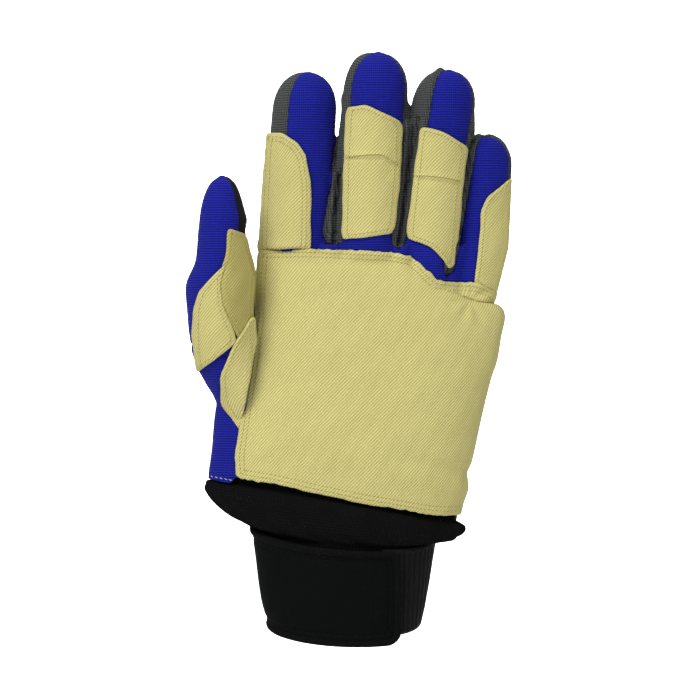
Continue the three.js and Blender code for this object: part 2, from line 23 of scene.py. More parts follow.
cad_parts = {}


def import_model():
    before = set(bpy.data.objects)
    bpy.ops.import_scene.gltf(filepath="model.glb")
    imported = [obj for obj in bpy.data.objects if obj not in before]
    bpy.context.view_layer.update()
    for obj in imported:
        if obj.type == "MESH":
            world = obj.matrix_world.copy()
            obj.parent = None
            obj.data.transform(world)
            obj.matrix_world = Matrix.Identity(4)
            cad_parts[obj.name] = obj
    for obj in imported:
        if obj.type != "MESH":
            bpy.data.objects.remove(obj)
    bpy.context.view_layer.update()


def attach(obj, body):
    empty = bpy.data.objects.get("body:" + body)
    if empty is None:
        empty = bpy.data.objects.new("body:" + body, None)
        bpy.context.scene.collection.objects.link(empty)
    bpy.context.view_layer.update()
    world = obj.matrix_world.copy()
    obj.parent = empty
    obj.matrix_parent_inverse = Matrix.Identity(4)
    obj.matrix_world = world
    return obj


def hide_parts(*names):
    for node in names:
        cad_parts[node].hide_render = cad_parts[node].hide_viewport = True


MM = 0.001
BODY = "root"
LOG = logging.getLogger("glove")

Array = np.ndarray
Mesh = tuple[Array, Array]
Ellipses = tuple[Array, Array, Array, Array]
Rows = list[tuple[float, ...]]
Mark = tuple[Vector, Vector, Vector]


# Meshes as arrays


@dataclass
class Surface:
    """An open or closed triangle mesh.

    Attributes:
        points: the places.
        faces: the triangles, as rows of point numbers.
        normals: the way out at each point.
        border: each point's distance from the line along which the mesh was last cut.
        carried: one more value at each point, which a cut works out for its new points too.
    """

    points: Array
    faces: Array
    normals: Array
    border: Array = field(default_factory=lambda: np.zeros(0))
    carried: Optional[Array] = None

    def clipped(self, keep: Array) -> "Surface":
        """Cuts the mesh along the zero line of a value that each point has.

        Args:
            keep: one value for each point; the side above zero stays.

        Returns:
            The part that stays, with its border distance set to the value.
        """
        carried = np.zeros(len(keep)) if self.carried is None else self.carried
        data = np.column_stack([self.points, self.normals, keep, carried])
        inside = keep[self.faces] > 0
        count = inside.sum(1)
        pieces = [self.faces[count == 3]]
        extra: list[Array] = []
        offset = len(data)
        for kept in (1, 2):
            faces, flags = self.faces[count == kept], inside[count == kept]
            if not len(faces):
                continue
            odd = np.argmax(flags if kept == 1 else ~flags, axis=1)
            turned = np.stack([faces[np.arange(len(faces)), (odd + k) % 3] for k in range(3)], 1)
            cuts = []
            for other in (1, 2):
                a, b = turned[:, 0], turned[:, other]
                share = (keep[a] / (keep[a] - keep[b]))[:, None]
                extra.append(data[a] * (1 - share) + data[b] * share)
                cuts.append(np.arange(len(a)) + offset)
                offset += len(a)
            if kept == 1:
                pieces.append(np.stack([turned[:, 0], cuts[0], cuts[1]], 1))
            else:
                pieces.append(np.stack([cuts[0], turned[:, 1], turned[:, 2]], 1))
                pieces.append(np.stack([cuts[0], turned[:, 2], cuts[1]], 1))
        data = np.vstack([data, *extra])
        faces = np.vstack(pieces)
        return Surface.compact(data, faces)

    @staticmethod
    def compact(data: Array, faces: Array) -> "Surface":
        """Merges equal points and drops the unused ones and the faces that have collapsed.

        Args:
            data: columns of place, normal, border distance and carried value.
            faces: triangles as rows of point numbers.

        Returns:
            The clean surface.
        """
        keys = np.round(data[:, :3] / (0.002 * MM)).astype(np.int64)
        _, first, back = np.unique(keys, axis=0, return_index=True, return_inverse=True)
        faces = back.reshape(-1)[faces]
        sound = (faces[:, 0] != faces[:, 1]) & (faces[:, 1] != faces[:, 2]) & (faces[:, 0] != faces[:, 2])
        faces = faces[sound]
        used, numbers = np.unique(faces, return_inverse=True)
        rows = data[first[used]]
        normals = unit(rows[:, 3:6])
        return Surface(rows[:, :3], numbers.reshape(-1, 3), normals, np.maximum(rows[:, 6], 0), rows[:, 7])

    def edges_open(self) -> Array:
        """Finds the mesh's open edges.

        Returns:
            The edges that only one face has, as rows of two point numbers in that face's order.
        """
        sides = np.vstack([self.faces[:, [0, 1]], self.faces[:, [1, 2]], self.faces[:, [2, 0]]])
        ordered = np.sort(sides, 1)
        _, number, count = np.unique(ordered, axis=0, return_inverse=True, return_counts=True)
        return sides[count[number.reshape(-1)] == 1]

    def thick(self, outer: Array, inner: Array) -> Mesh:
        """Gives the surface two sides and a rim.

        Args:
            outer: how far each point's outer copy moves along its normal.
            inner: the same for its inner copy.

        Returns:
            The points and triangles of the closed mesh.
        """
        count = len(self.points)
        points = np.vstack([
            self.points + self.normals * outer[:, None],
            self.points + self.normals * inner[:, None],
        ])
        rim = self.edges_open()
        a, b = rim[:, 0], rim[:, 1]
        walls = np.vstack([np.stack([b, a, a + count], 1), np.stack([b, a + count, b + count], 1)])
        return points, np.vstack([self.faces, self.faces[:, ::-1] + count, walls])


def unit(vectors: Array) -> Array:
    """Returns the vectors at length 1."""
    return vectors / np.maximum(np.linalg.norm(vectors, axis=1, keepdims=True), 1e-12)


def vertex_normals(points: Array, faces: Array) -> Array:
    """Works out which way is out at each point.

    Args:
        points: the places.
        faces: the triangles.

    Returns:
        The mean of the faces' normals round each point, weighted by their areas.
    """
    a, b, c = (points[faces[:, k]] for k in range(3))
    across = np.cross(b - a, c - a)
    normals = np.zeros_like(points)
    for k in range(3):
        np.add.at(normals, faces[:, k], across)
    return unit(normals)


def relaxed(points: Array, faces: Array, rounds: int, strength: float = 0.5, back: float = 1.04) -> Array:
    """Smooths a mesh without shrinking it.

    Args:
        points: the places.
        faces: the triangles.
        rounds: how many times it is smoothed.
        strength: how far a point moves to the mean of its neighbours each time.
        back: how much further it then moves back, which keeps the mesh from shrinking.

    Returns:
        The smoothed places.
    """
    sides = np.vstack([faces[:, [0, 1]], faces[:, [1, 2]], faces[:, [2, 0]]])
    sides = np.unique(np.sort(sides, 1), axis=0)
    a, b = sides[:, 0], sides[:, 1]
    degree = np.bincount(np.concatenate([a, b]), minlength=len(points)).astype(float)
    points = points.copy()
    for number in range(2 * rounds):
        total = np.zeros_like(points)
        for axis in range(3):
            total[:, axis] = np.bincount(a, points[b, axis], len(points))
            total[:, axis] += np.bincount(b, points[a, axis], len(points))
        pull = strength if number % 2 == 0 else -strength * back
        points += pull * (total / np.maximum(degree, 1)[:, None] - points)
    return points


def between(low: float, high: float, values: Array) -> Array:
    """Returns a smooth step from 0 at low to 1 at high, whichever of the two is larger."""
    share = np.clip((values - low) / (high - low), 0, 1)
    return share * share * (3 - 2 * share)


def curve_through(stations: Array, values: Array, at: Array) -> Array:
    """Returns a smooth curve's values through a table's rows, without overshoot between them.

    Args:
        stations: the rows' places, rising.
        values: the rows' values.
        at: the places asked for.

    Returns:
        The values there.
    """
    step = np.diff(stations)
    slope = np.diff(values) / step
    tangent = np.zeros(len(values))
    tangent[1:-1] = np.where(
        slope[:-1] * slope[1:] > 0,
        2 * slope[:-1] * slope[1:] / np.where(slope[:-1] + slope[1:] == 0, 1, slope[:-1] + slope[1:]),
        0,
    )
    tangent[0], tangent[-1] = slope[0], slope[-1]
    at = np.clip(at, stations[0], stations[-1])
    row = np.clip(np.searchsorted(stations, at) - 1, 0, len(step) - 1)
    t = (at - stations[row]) / step[row]
    h = step[row]
    return (
        (2 * t**3 - 3 * t**2 + 1) * values[row]
        + (t**3 - 2 * t**2 + t) * h * tangent[row]
        + (3 * t**2 - 2 * t**3) * values[row + 1]
        + (t**3 - t**2) * h * tangent[row + 1]
    )


def wobble(a: Array, b: Array, size: float, seed: float = 0.0) -> Array:
    """Returns a smooth uneven value from -1 to 1 over two coordinates, for hand-made lines and slack cloth.

    Args:
        a: the first coordinate.
        b: the second coordinate.
        size: the width of its bumps.
        seed: another number gives another pattern.

    Returns:
        The value at each place.
    """
    k = 2 * math.pi / size
    total = np.sin(k * (0.83 * a + 0.47 * b) + 1.7 + seed)
    total += np.sin(k * (-0.41 * a + 1.13 * b) * 0.71 + 4.1 + 2.3 * seed)
    total += 0.6 * np.sin(k * (1.27 * a - 0.66 * b) * 1.37 + 0.4 + 3.7 * seed)
    return total / 2.6


def outline_distance(x: Array, z: Array, corners: Array) -> Array:
    """Returns how far each place is inside a closed outline, below zero outside it.

    Args:
        x: the places' first coordinate.
        z: their second coordinate.
        corners: the outline's corners, a row each.

    Returns:
        The distances.
    """
    nearest = np.full(len(x), 1e9)
    inside = np.zeros(len(x), bool)
    for (ax, az), (bx, bz) in zip(corners, np.roll(corners, -1, axis=0)):
        dx, dz = bx - ax, bz - az
        share = np.clip(((x - ax) * dx + (z - az) * dz) / max(dx * dx + dz * dz, 1e-18), 0, 1)
        nearest = np.minimum(nearest, np.hypot(x - ax - share * dx, z - az - share * dz))
        crosses = (az > z) != (bz > z)
        inside ^= crosses & (x < ax + (z - az) * dx / (dz if dz else 1e-18))
    return np.where(inside, nearest, -nearest)


def rounded(corners: Array, rounds: int = 2, cut: float = 0.1) -> Array:
    """Cuts the corners of a closed outline, so that it reads as sewn cloth.

    Args:
        corners: the outline's corners.
        rounds: how many times they are cut.
        cut: the share of each side that a cut takes off at either end.

    Returns:
        The smoother outline.
    """
    for _ in range(rounds):
        after = np.roll(corners, -1, axis=0)
        ends = [(1 - cut) * corners + cut * after, cut * corners + (1 - cut) * after]
        corners = np.stack(ends, 1).reshape(-1, 2)
    return corners


# The hand form


@dataclass(frozen=True)
class Finger:
    """One finger.

    Attributes:
        length: from the web's height to the tip.
        width: at its middle.
        depth: from front to back.
        root: its centre inside the palm, as a share of the palm's breadth.
        base: the same at the web's height.
        tip: the same at the tip.
        back: how far back it stands, as a share of the palm's depth.
        waist: its width at the web's height, as a share of its width.
        slim: how much its sides draw in above that.
        seams: its seams' shares of the half width: left at base and tip, then right at base and tip.
    """

    length: float
    width: float
    depth: float
    root: float
    base: float
    tip: float
    back: float
    waist: float
    slim: float
    seams: tuple[float, float, float, float]


FINGERS = {
    "index": Finger(
        length=77 * MM, width=30 * MM, depth=25 * MM, root=-0.165, base=-0.193, tip=-0.149,
        back=0, waist=1, slim=0.8 * MM, seams=(-0.45, -0.5, 0.74, 1.1),
    ),
    "middle": Finger(
        length=85.5 * MM, width=30.6 * MM, depth=26 * MM, root=0.085, base=0.088, tip=0.129,
        back=-0.05, waist=1, slim=1.3 * MM, seams=(-0.62, -0.8, 0.66, 0.95),
    ),
    "ring": Finger(
        length=78 * MM, width=28 * MM, depth=24.5 * MM, root=0.3, base=0.335, tip=0.398,
        back=-0.03, waist=0.93, slim=0.1 * MM, seams=(-0.84, -0.4, 0.55, 0.95),
    ),
    "little": Finger(
        length=50 * MM, width=24.6 * MM, depth=21.5 * MM, root=0.455, base=0.531, tip=0.553,
        back=0.12, waist=1, slim=0.1 * MM, seams=(-0.73, -0.4, 1.4, 1.4),
    ),
}


@dataclass
class HandForm:
    """The smooth form of the glove's base cloth, from the same sizes and tables as the solids."""

    palm_length: float = 112 * MM
    palm_breadth: float = 112 * MM
    palm_depth: float = 34 * MM
    root_depth: float = 34 * MM
    finger_curl: float = 11 * MM
    tip_roundness: float = 0.62
    thumb_length: float = 114 * MM
    thumb_width: float = 31 * MM
    thumb_depth: float = 32 * MM
    thumb_root_up: float = 0.26
    hem_z: float = 63 * MM
    hem_tilt: float = 0.168
    palm_squareness: float = 0.78
    dome_power: float = 2.3
    waist_rate: float = 2.5
    slim_delay: float = 0.9
    least: float = 0.05 * MM
    web_tops: tuple[float, float, float] = (0.42, 0.7, 0.9)
    web_root: float = 7 * MM
    web_wall: float = 2.4 * MM
    voxel: float = 0.95 * MM
    smoothing: int = 9
    # Columns: up, left, right, front, back, lean
    palm_rows: Rows = field(default_factory=lambda: [
        (-0.13, -0.535, 0.43, 0.66, 0.66, 0),
        (0.06, -0.54, 0.461, 0.63, 0.63, 0),
        (0.2, -0.526, 0.493, 0.6, 0.6, 0),
        (0.36, -0.51, 0.528, 0.56, 0.57, 0),
        (0.48, -0.48, 0.558, 0.52, 0.55, 0),
        (0.58, -0.43, 0.585, 0.49, 0.53, -0.03),
        (0.7, -0.372, 0.6, 0.47, 0.5, -0.08),
        (0.84, -0.335, 0.615, 0.43, 0.44, -0.18),
        (0.93, -0.33, 0.6, 0.37, 0.38, -0.28),
    ])
    # Columns: up, across, forward, wide, deep
    thumb_rows: Rows = field(default_factory=lambda: [
        (0, -0.33, -0.03, 0.8, 0.8),
        (0.14, -0.375, 0.1, 0.98, 1.0),
        (0.3, -0.455, 0.24, 1.0, 1.04),
        (0.44, -0.478, 0.38, 1.0, 1.0),
        (0.57, -0.482, 0.48, 1.03, 0.92),
        (0.68, -0.468, 0.54, 0.84, 0.78),
        (0.8, -0.472, 0.6, 0.73, 0.68),
        (0.9, -0.477, 0.63, 0.58, 0.55),
        (0.965, -0.476, 0.64, 0.39, 0.38),
        (1, -0.474, 0.64, 0.12, 0.12),
    ])

    def __post_init__(self) -> None:
        """Works out the height of the finger webs."""
        self.web_z = self.hem_z + self.palm_length

    def curl(self, z: Array) -> Array:
        """Returns the forward bow of the fingers at each height."""
        along = np.maximum(0, (z - self.web_z) / FINGERS["middle"].length)
        return -self.finger_curl * along**1.6

    def finger_at(self, finger: Finger, z: Array) -> Ellipses:
        """Gives a finger's section at each height.

        Args:
            finger: the finger.
            z: the heights.

        Returns:
            The sections' centre x and y, half width and half depth.
        """
        along = (z - self.web_z) / finger.length
        below = np.clip((self.web_z - z) / self.root_depth, 0, 1.2)
        across = np.where(
            along < 0,
            finger.base + (finger.root - finger.base) * below,
            finger.base + (finger.tip - finger.base) * np.clip(along, 0, 1.1),
        )
        dome = self.tip_roundness * finger.width
        climb = np.clip((z - self.web_z - finger.length + dome) / dome, 0, 1)
        share = np.sqrt(np.maximum(0, 1 - climb**self.dome_power))
        rise = self.waist_rate * along
        waist = finger.waist + (1 - finger.waist) * np.clip(rise, 0, 1)
        slim = finger.slim * np.clip(rise - self.slim_delay, 0, 1)
        return (
            across * self.palm_breadth,
            self.curl(z) + finger.back * self.palm_depth,
            share * (waist * finger.width / 2 - slim) + self.least,
            share * finger.depth / 2 + self.least,
        )

    def seam_at(self, finger: Finger, z: Array, right: bool) -> Array:
        """Gives the x of one of a finger's seams.

        Args:
            finger: the finger.
            z: the heights.
            right: whether it is the right seam.

        Returns:
            The x at each height.
        """
        at = np.minimum(z, self.web_z + finger.length)
        centre, _, half, _ = self.finger_at(finger, at)
        base, tip = finger.seams[2:] if right else finger.seams[:2]
        along = np.clip((z - self.web_z) / finger.length, 0, 1)
        return centre + (base + (tip - base) * np.minimum(along * 1.3, 1)) * half

    def thumb_at(self, z: Array) -> Ellipses:
        """Gives the thumb's section at each height.

        Args:
            z: the heights.

        Returns:
            The sections' centre x and y, half width and half depth.
        """
        rows = np.array(self.thumb_rows)
        up = (z - self.hem_z - self.thumb_root_up * self.palm_length) / self.thumb_length
        across, forward, wide, deep = (curve_through(rows[:, 0], rows[:, k], up) for k in range(1, 5))
        return (
            across * self.palm_breadth,
            -forward * self.thumb_depth,
            wide * self.thumb_width / 2,
            deep * self.thumb_depth / 2,
        )

    def tube(self, section: Callable[[Array], Ellipses], heights: Array, columns: int = 56) -> Mesh:
        """Makes a closed tube of elliptic rings.

        Args:
            section: gives the rings' centres and half sizes for their heights.
            heights: the rings' heights, rising.
            columns: how many points a ring has.

        Returns:
            The tube.
        """
        x, y, half, deep = section(heights)
        angle = np.linspace(0, 2 * math.pi, columns, endpoint=False)
        rings = np.stack([
            x[:, None] + half[:, None] * np.sin(angle),
            y[:, None] - deep[:, None] * np.cos(angle),
            np.repeat(heights[:, None], columns, 1),
        ], 2)
        return capped(rings)

    def palm(self, columns: int = 110, count: int = 60) -> Mesh:
        """Makes the palm's closed form, without its fingers.

        Args:
            columns: how many points a ring has.
            count: how many rings there are.

        Returns:
            The form.
        """
        rows = np.array(self.palm_rows)
        up = np.linspace(rows[0, 0], rows[-1, 0], count)
        left, right, front, back, lean = (curve_through(rows[:, 0], rows[:, k], up) for k in range(1, 6))
        angle = np.linspace(0, 2 * math.pi, columns, endpoint=False)
        sine, cosine = np.sin(angle), np.cos(angle)
        bend_x = np.sign(sine) * np.abs(sine) ** self.palm_squareness
        bend_y = np.sign(cosine) * np.abs(cosine) ** self.palm_squareness
        middle = (left + right)[:, None] / 2 * self.palm_breadth
        across = middle + bend_x * (right - left)[:, None] / 2 * self.palm_breadth
        deep = np.where(bend_y > 0, front[:, None], back[:, None]) * self.palm_depth
        height = self.hem_z + up[:, None] * self.palm_length + lean[:, None] * across
        return capped(np.stack([across, -bend_y * deep, height], 2))

    def palm_front(self, x: Array, z: Array) -> Array:
        """Gives the palm's front face as it is where the thumb doesn't stand on it.

        Args:
            x: the places across.
            z: the heights.

        Returns:
            The face's y at each place.
        """
        rows = np.array(self.palm_rows)
        up = (z - self.hem_z) / self.palm_length
        up = up - curve_through(rows[:, 0], rows[:, 5], up) * x / self.palm_length
        left, right, front = (curve_through(rows[:, 0], rows[:, k], up) for k in (1, 2, 3))
        middle = (left + right) / 2 * self.palm_breadth
        share = np.clip(np.abs(x - middle) / ((right - left) / 2 * self.palm_breadth), 0, 0.99)
        power = 2 / self.palm_squareness
        return -front * self.palm_depth * (1 - share**power) ** (1 / power)

    def web_top(self, number: int) -> float:
        """Returns the height up to which a pair of fingers touch, counted from the index finger."""
        pair = list(FINGERS.values())[number:number + 2]
        return self.web_z + self.web_tops[number] * min(finger.length for finger in pair)

    def web_at(self, left: Finger, right: Finger, half: float, share: float, z: Array) -> Ellipses:
        """Gives the section of the filler between two fingers at each height.

        Args:
            left: the finger on its left.
            right: the finger on its right.
            half: its half width.
            share: its depth as a share of the flatter finger's.
            z: the heights.

        Returns:
            The sections' centre x and y, half width and half depth.
        """
        left_x, left_y, left_half, left_deep = self.finger_at(left, z)
        right_x, right_y, right_half, right_deep = self.finger_at(right, z)
        x = (left_x + left_half + right_x - right_half) / 2
        return x, (left_y + right_y) / 2, np.full(len(z), half), share * np.minimum(left_deep, right_deep)

    def webs(self) -> list[Mesh]:
        """Makes the forms that fill the creases between the fingers' roots and hold neighbours together.

        Returns:
            A broad low form and a thin high one for each pair of fingers.
        """
        found = []
        for number, (left, right) in enumerate(pairwise(FINGERS.values())):
            low = np.linspace(self.web_z - 30 * MM, self.web_z + 1 * MM, 12)
            high = np.linspace(self.web_z - 6 * MM, self.web_top(number), 20)
            found.append(self.tube(partial(self.web_at, left, right, self.web_root, 0.95), low, 24))
            found.append(self.tube(partial(self.web_at, left, right, self.web_wall, 0.55), high, 24))
        return found

    def surface(self) -> Surface:
        """Joins palm, fingers and thumb into one smooth skin.

        Returns:
            The skin, open at the wrist hem.
        """
        forms = [self.palm(), *self.webs()]
        for finger in FINGERS.values():
            start = self.web_z - self.root_depth
            dome = self.tip_roundness * finger.width
            shaft = np.linspace(start, self.web_z + finger.length - dome, 50)
            cap = self.web_z + finger.length - dome * (1 - np.sin(np.linspace(0.08, 0.5 * math.pi, 16)))
            forms.append(self.tube(partial(self.finger_at, finger), np.concatenate([shaft, cap])))
        root = self.hem_z + self.thumb_root_up * self.palm_length
        heights = root + self.thumb_length * np.sin(np.linspace(0, 0.5 * math.pi, 70))
        forms.append(self.tube(self.thumb_at, heights))
        points, faces = joined(forms)
        points, faces = remeshed(points, faces, self.voxel)
        points = relaxed(points, faces, self.smoothing)
        skin = Surface(points, faces, vertex_normals(points, faces))
        return skin.clipped(self.above_hem(skin.points))

    def above_hem(self, points: Array) -> Array:
        """Returns each point's height above the wrist hem."""
        return points[:, 2] - (self.hem_z - self.hem_tilt * points[:, 0])


def capped(rings: Array) -> Mesh:
    """Skins rings of points, in rising order, and closes both ends.

    Args:
        rings: an array of rings, each with as many points.

    Returns:
        The points and triangles.
    """
    count, columns = rings.shape[:2]
    points = np.vstack([rings.reshape(-1, 3), rings[0].mean(0), rings[-1].mean(0)])
    column = np.arange(columns)
    after = (column + 1) % columns
    walls = []
    for row in range(count - 1):
        a, b = row * columns + column, row * columns + after
        walls += [np.stack([a, b, b + columns], 1), np.stack([a, b + columns, a + columns], 1)]
    low, high = len(points) - 2, len(points) - 1
    top = (count - 1) * columns
    floor = np.stack([np.full(columns, low), after, column], 1)
    roof = np.stack([np.full(columns, high), top + column, top + after], 1)
    return points, np.vstack([*walls, floor, roof])


def joined(forms: list[Mesh]) -> Mesh:
    """Joins several meshes, which stay loose from one another.

    Args:
        forms: the meshes.

    Returns:
        One mesh with all their points and triangles.
    """
    offsets = np.cumsum([0] + [len(points) for points, _ in forms[:-1]])
    faces = [form_faces + offset for (_, form_faces), offset in zip(forms, offsets)]
    return np.vstack([points for points, _ in forms]), np.vstack(faces)


def remeshed(points: Array, faces: Array, voxel: float) -> Mesh:
    """Unites overlapping closed forms into one skin with even faces.

    Args:
        points: the places.
        faces: the triangles.
        voxel: the size of the new faces.

    Returns:
        The new points and triangles.
    """
    mesh = bpy.data.meshes.new("form")
    mesh.from_pydata(points.tolist(), [], faces.tolist())
    form = bpy.data.objects.new("form", mesh)
    bpy.context.scene.collection.objects.link(form)
    modifier = form.modifiers.new("even", "REMESH")
    modifier.mode = "VOXEL"
    modifier.voxel_size = voxel
    made = form.evaluated_get(bpy.context.evaluated_depsgraph_get()).to_mesh()
    made.calc_loop_triangles()
    places = np.empty(len(made.vertices) * 3, np.float32)
    made.vertices.foreach_get("co", places)
    corners = np.empty(len(made.loop_triangles) * 3, np.int32)
    made.loop_triangles.foreach_get("vertices", corners)
    bpy.data.objects.remove(form)
    return places.reshape(-1, 3).astype(float), corners.reshape(-1, 3).astype(np.int64)


# Dressing

UV_PER_METRE = 10


def piece_object(name: str, points: Array, faces: Array, material: bpy.types.Material,
                 cloth: Optional[Array] = None) -> bpy.types.Object:
    """Makes a smooth-shaded object and links it to the scene.

    Args:
        name: the piece's name.
        points: its places.
        faces: its triangles.
        material: its finish.
        cloth: the weave's coordinates at each point, in metres, or none for its x and z.

    Returns:
        The object.
    """
    mesh = bpy.data.meshes.new(name)
    mesh.from_pydata(points.tolist(), [], faces.tolist())
    mesh.update()
    layer = mesh.uv_layers.new(name="cloth")
    corner = np.empty(len(mesh.loops), np.int32)
    mesh.loops.foreach_get("vertex_index", corner)
    places = points[:, [0, 2]] if cloth is None else cloth
    layer.data.foreach_set("uv", places[corner].astype(np.float32).ravel() * UV_PER_METRE)
    mesh.shade_smooth()
    mesh.materials.append(material)
    made = bpy.data.objects.new(name, mesh)
    bpy.context.scene.collection.objects.link(made)
    return made


def cloth_area(points: Array, faces: Array) -> float:
    """Returns half the mesh's area, which is a thin sheet's area on one side."""
    a, b, c = (points[faces[:, k]] for k in range(3))
    return float(np.linalg.norm(np.cross(b - a, c - a), axis=1).sum() / 4)


def dress(made: bpy.types.Object, node: str, is_cloth: bool = True) -> bpy.types.Object:
    """Says what a piece stands for: its body and its solid; a cloth's flat size is worked out but not kept.

    Args:
        made: the piece.
        node: the solid that it replaces.
        is_cloth: whether it is a sheet of cloth.

    Returns:
        The same piece.
    """
    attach(made, BODY)
    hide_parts(node)
    if is_cloth:
        points = np.array([v.co[:] for v in made.data.vertices])
        faces = np.array([p.vertices[:] for p in made.data.polygons])
        area = cloth_area(points, faces)
    LOG.info("%s stands for %s with %d faces", made.name, node, len(made.data.polygons))
    return made


# Finishes


class Weave(Enum):
    """The kinds of surface that the cloths have."""

    TWILL = "twill"
    GRID_KNIT = "grid knit"
    BASKET = "basket mesh"
    RIB_KNIT = "rib knit"
    NEOPRENE = "neoprene"
    RUBBER = "rubber"
    THREAD = "thread"


@dataclass(frozen=True)
class Finish:
    """How one material looks.

    Attributes:
        name: the material's name.
        weave: the kind of surface that its shade and relief follow.
        colour: of the threads' tops.
        groove: the colour between the threads, darker as painted shade in the weave's hollows.
        roughness: from 0 to 1.
        relief: the weave's height.
        sheen: the fuzz's strength.
        specular: the strength of its shine.
        soil: how uneven its shade is.
    """

    name: str
    weave: Weave
    colour: tuple[float, float, float]
    groove: tuple[float, float, float]
    roughness: float
    relief: float
    sheen: float = 0.0
    specular: float = 0.3
    soil: float = 0.12


FINISHES = {
    "twill": Finish(
        "pale twill", Weave.TWILL, colour=(0.72, 0.66, 0.275), groove=(0.36, 0.315, 0.1),
        roughness=0.85, relief=0.2 * MM, sheen=0.05, specular=0.1,
    ),
    # The inner thumb leaf's twill is darker, partly from soil and partly as painted shade, since that leaf
    # faces away from the key light
    "shaded_twill": Finish(
        "soiled twill with painted shade", Weave.TWILL, colour=(0.56, 0.5, 0.17), groove=(0.27, 0.23, 0.07),
        roughness=0.85, relief=0.2 * MM, sheen=0.03, specular=0.1,
    ),
    "blue_knit": Finish(
        "blue knit", Weave.GRID_KNIT, colour=(0.018, 0.025, 0.47), groove=(0.0, 0.001, 0.03),
        roughness=0.8, relief=0.35 * MM, sheen=0.02, specular=0.08,
    ),
    "grey_mesh": Finish(
        "grey mesh", Weave.BASKET, colour=(0.1, 0.107, 0.105), groove=(0.004, 0.004, 0.005),
        roughness=0.7, relief=0.4 * MM, sheen=0.02, specular=0.12,
    ),
    "black_mesh": Finish(
        "black mesh", Weave.BASKET, colour=(0.015, 0.015, 0.016), groove=(0.003, 0.003, 0.003),
        roughness=0.7, relief=0.3 * MM, sheen=0.01, specular=0.08,
    ),
    "black_knit": Finish(
        "black knit", Weave.RIB_KNIT, colour=(0.007, 0.007, 0.007), groove=(0.001, 0.001, 0.001),
        roughness=0.9, relief=0.2 * MM, sheen=0.01, specular=0.04,
    ),
    "neoprene": Finish(
        "neoprene", Weave.NEOPRENE, colour=(0.0042, 0.005, 0.0046), groove=(0.002, 0.0024, 0.0022),
        roughness=0.75, relief=0.06 * MM, sheen=0.003, specular=0.03,
    ),
    "rubber": Finish(
        "rubber", Weave.RUBBER, colour=(0.005, 0.005, 0.005), groove=(0.003, 0.003, 0.003),
        roughness=0.5, relief=0.03 * MM, specular=0.1,
    ),
    "pale_thread": Finish(
        "pale thread", Weave.THREAD, colour=(0.4, 0.33, 0.11), groove=(0.24, 0.19, 0.06),
        roughness=0.8, relief=0.02 * MM, specular=0.1,
    ),
    "cream_thread": Finish(
        "cream thread", Weave.THREAD, colour=(0.7, 0.66, 0.52), groove=(0.5, 0.46, 0.36),
        roughness=0.8, relief=0.02 * MM, specular=0.1,
    ),
    "dark_thread": Finish(
        "dark thread", Weave.THREAD, colour=(0.003, 0.003, 0.003), groove=(0.001, 0.001, 0.001),
        roughness=0.8, relief=0.02 * MM, specular=0.15,
    ),
}
# The weaves' pitches in millimetres, across and along the cloth, or across and along a twill's ridges
PITCHES = {
    Weave.TWILL: (1.08, 0.8),
    Weave.GRID_KNIT: (0.92, 1.05),
    Weave.BASKET: (1.05, 1.05),
    Weave.RIB_KNIT: (0.8, 0.7),
    Weave.THREAD: (0.35, 0.35),
}
BUMP_STRENGTH = 0.9
SHEEN_ROUGHNESS = 0.5


class NodeGroup:
    """A shader node group while it is built, with short calls for its sums."""

    def __init__(self, name: str, inputs: list[tuple[str, str, float]],
                 outputs: list[tuple[str, str]]) -> None:
        """Makes an empty group with its sockets.

        Args:
            name: the group's name.
            inputs: label, socket type and value of each input.
            outputs: label and socket type of each output.
        """
        self.tree = bpy.data.node_groups.new(name, "ShaderNodeTree")
        for label, kind, value in inputs:
            socket = self.tree.interface.new_socket(label, in_out="INPUT", socket_type=kind)
            if kind == "NodeSocketFloat":
                socket.default_value = value
        for label, kind in outputs:
            self.tree.interface.new_socket(label, in_out="OUTPUT", socket_type=kind)
        self.entry = self.tree.nodes.new("NodeGroupInput").outputs
        self.exit = self.tree.nodes.new("NodeGroupOutput").inputs

    def link(self, value: object, socket: bpy.types.NodeSocket) -> None:
        """Sets a socket to a number or to another socket's value.

        Args:
            value: the number or the other socket.
            socket: the socket that is set.
        """
        if isinstance(value, bpy.types.NodeSocket):
            self.tree.links.new(value, socket)
        else:
            socket.default_value = value

    def sum(self, operation: str, *values: object) -> bpy.types.NodeSocket:
        """Adds one maths operation.

        Args:
            operation: its name in Blender.
            values: the numbers or sockets that it works on.

        Returns:
            The socket with its result.
        """
        node = self.tree.nodes.new("ShaderNodeMath")
        node.operation = operation
        for value, socket in zip(values, node.inputs):
            self.link(value, socket)
        return node.outputs[0]

    def axes(self, value: object) -> tuple[bpy.types.NodeSocket, bpy.types.NodeSocket]:
        """Splits a vector.

        Args:
            value: the socket that holds it.

        Returns:
            The sockets of its first two parts.
        """
        node = self.tree.nodes.new("ShaderNodeSeparateXYZ")
        self.link(value, node.inputs[0])
        return node.outputs[0], node.outputs[1]

    def wave(self, place: object, pitch: float, phase: object = 0.0) -> bpy.types.NodeSocket:
        """Returns a wave from 0 to 1 along a coordinate in millimetres."""
        turn = self.sum("MULTIPLY_ADD", place, 2 * math.pi / pitch, phase)
        return self.sum("MULTIPLY_ADD", self.sum("SINE", turn), 0.5, 0.5)

    def noise(self, place: object, scale: float, detail: float = 2.0) -> bpy.types.NodeSocket:
        """Adds a smooth noise.

        Args:
            place: the socket with its coordinates.
            scale: how close together its bumps are.
            detail: how many finer layers it has.

        Returns:
            The socket with its value from 0 to 1.
        """
        node = self.tree.nodes.new("ShaderNodeTexNoise")
        self.link(place, node.inputs["Vector"])
        node.inputs["Scale"].default_value = scale
        node.inputs["Detail"].default_value = detail
        return node.outputs["Fac"]


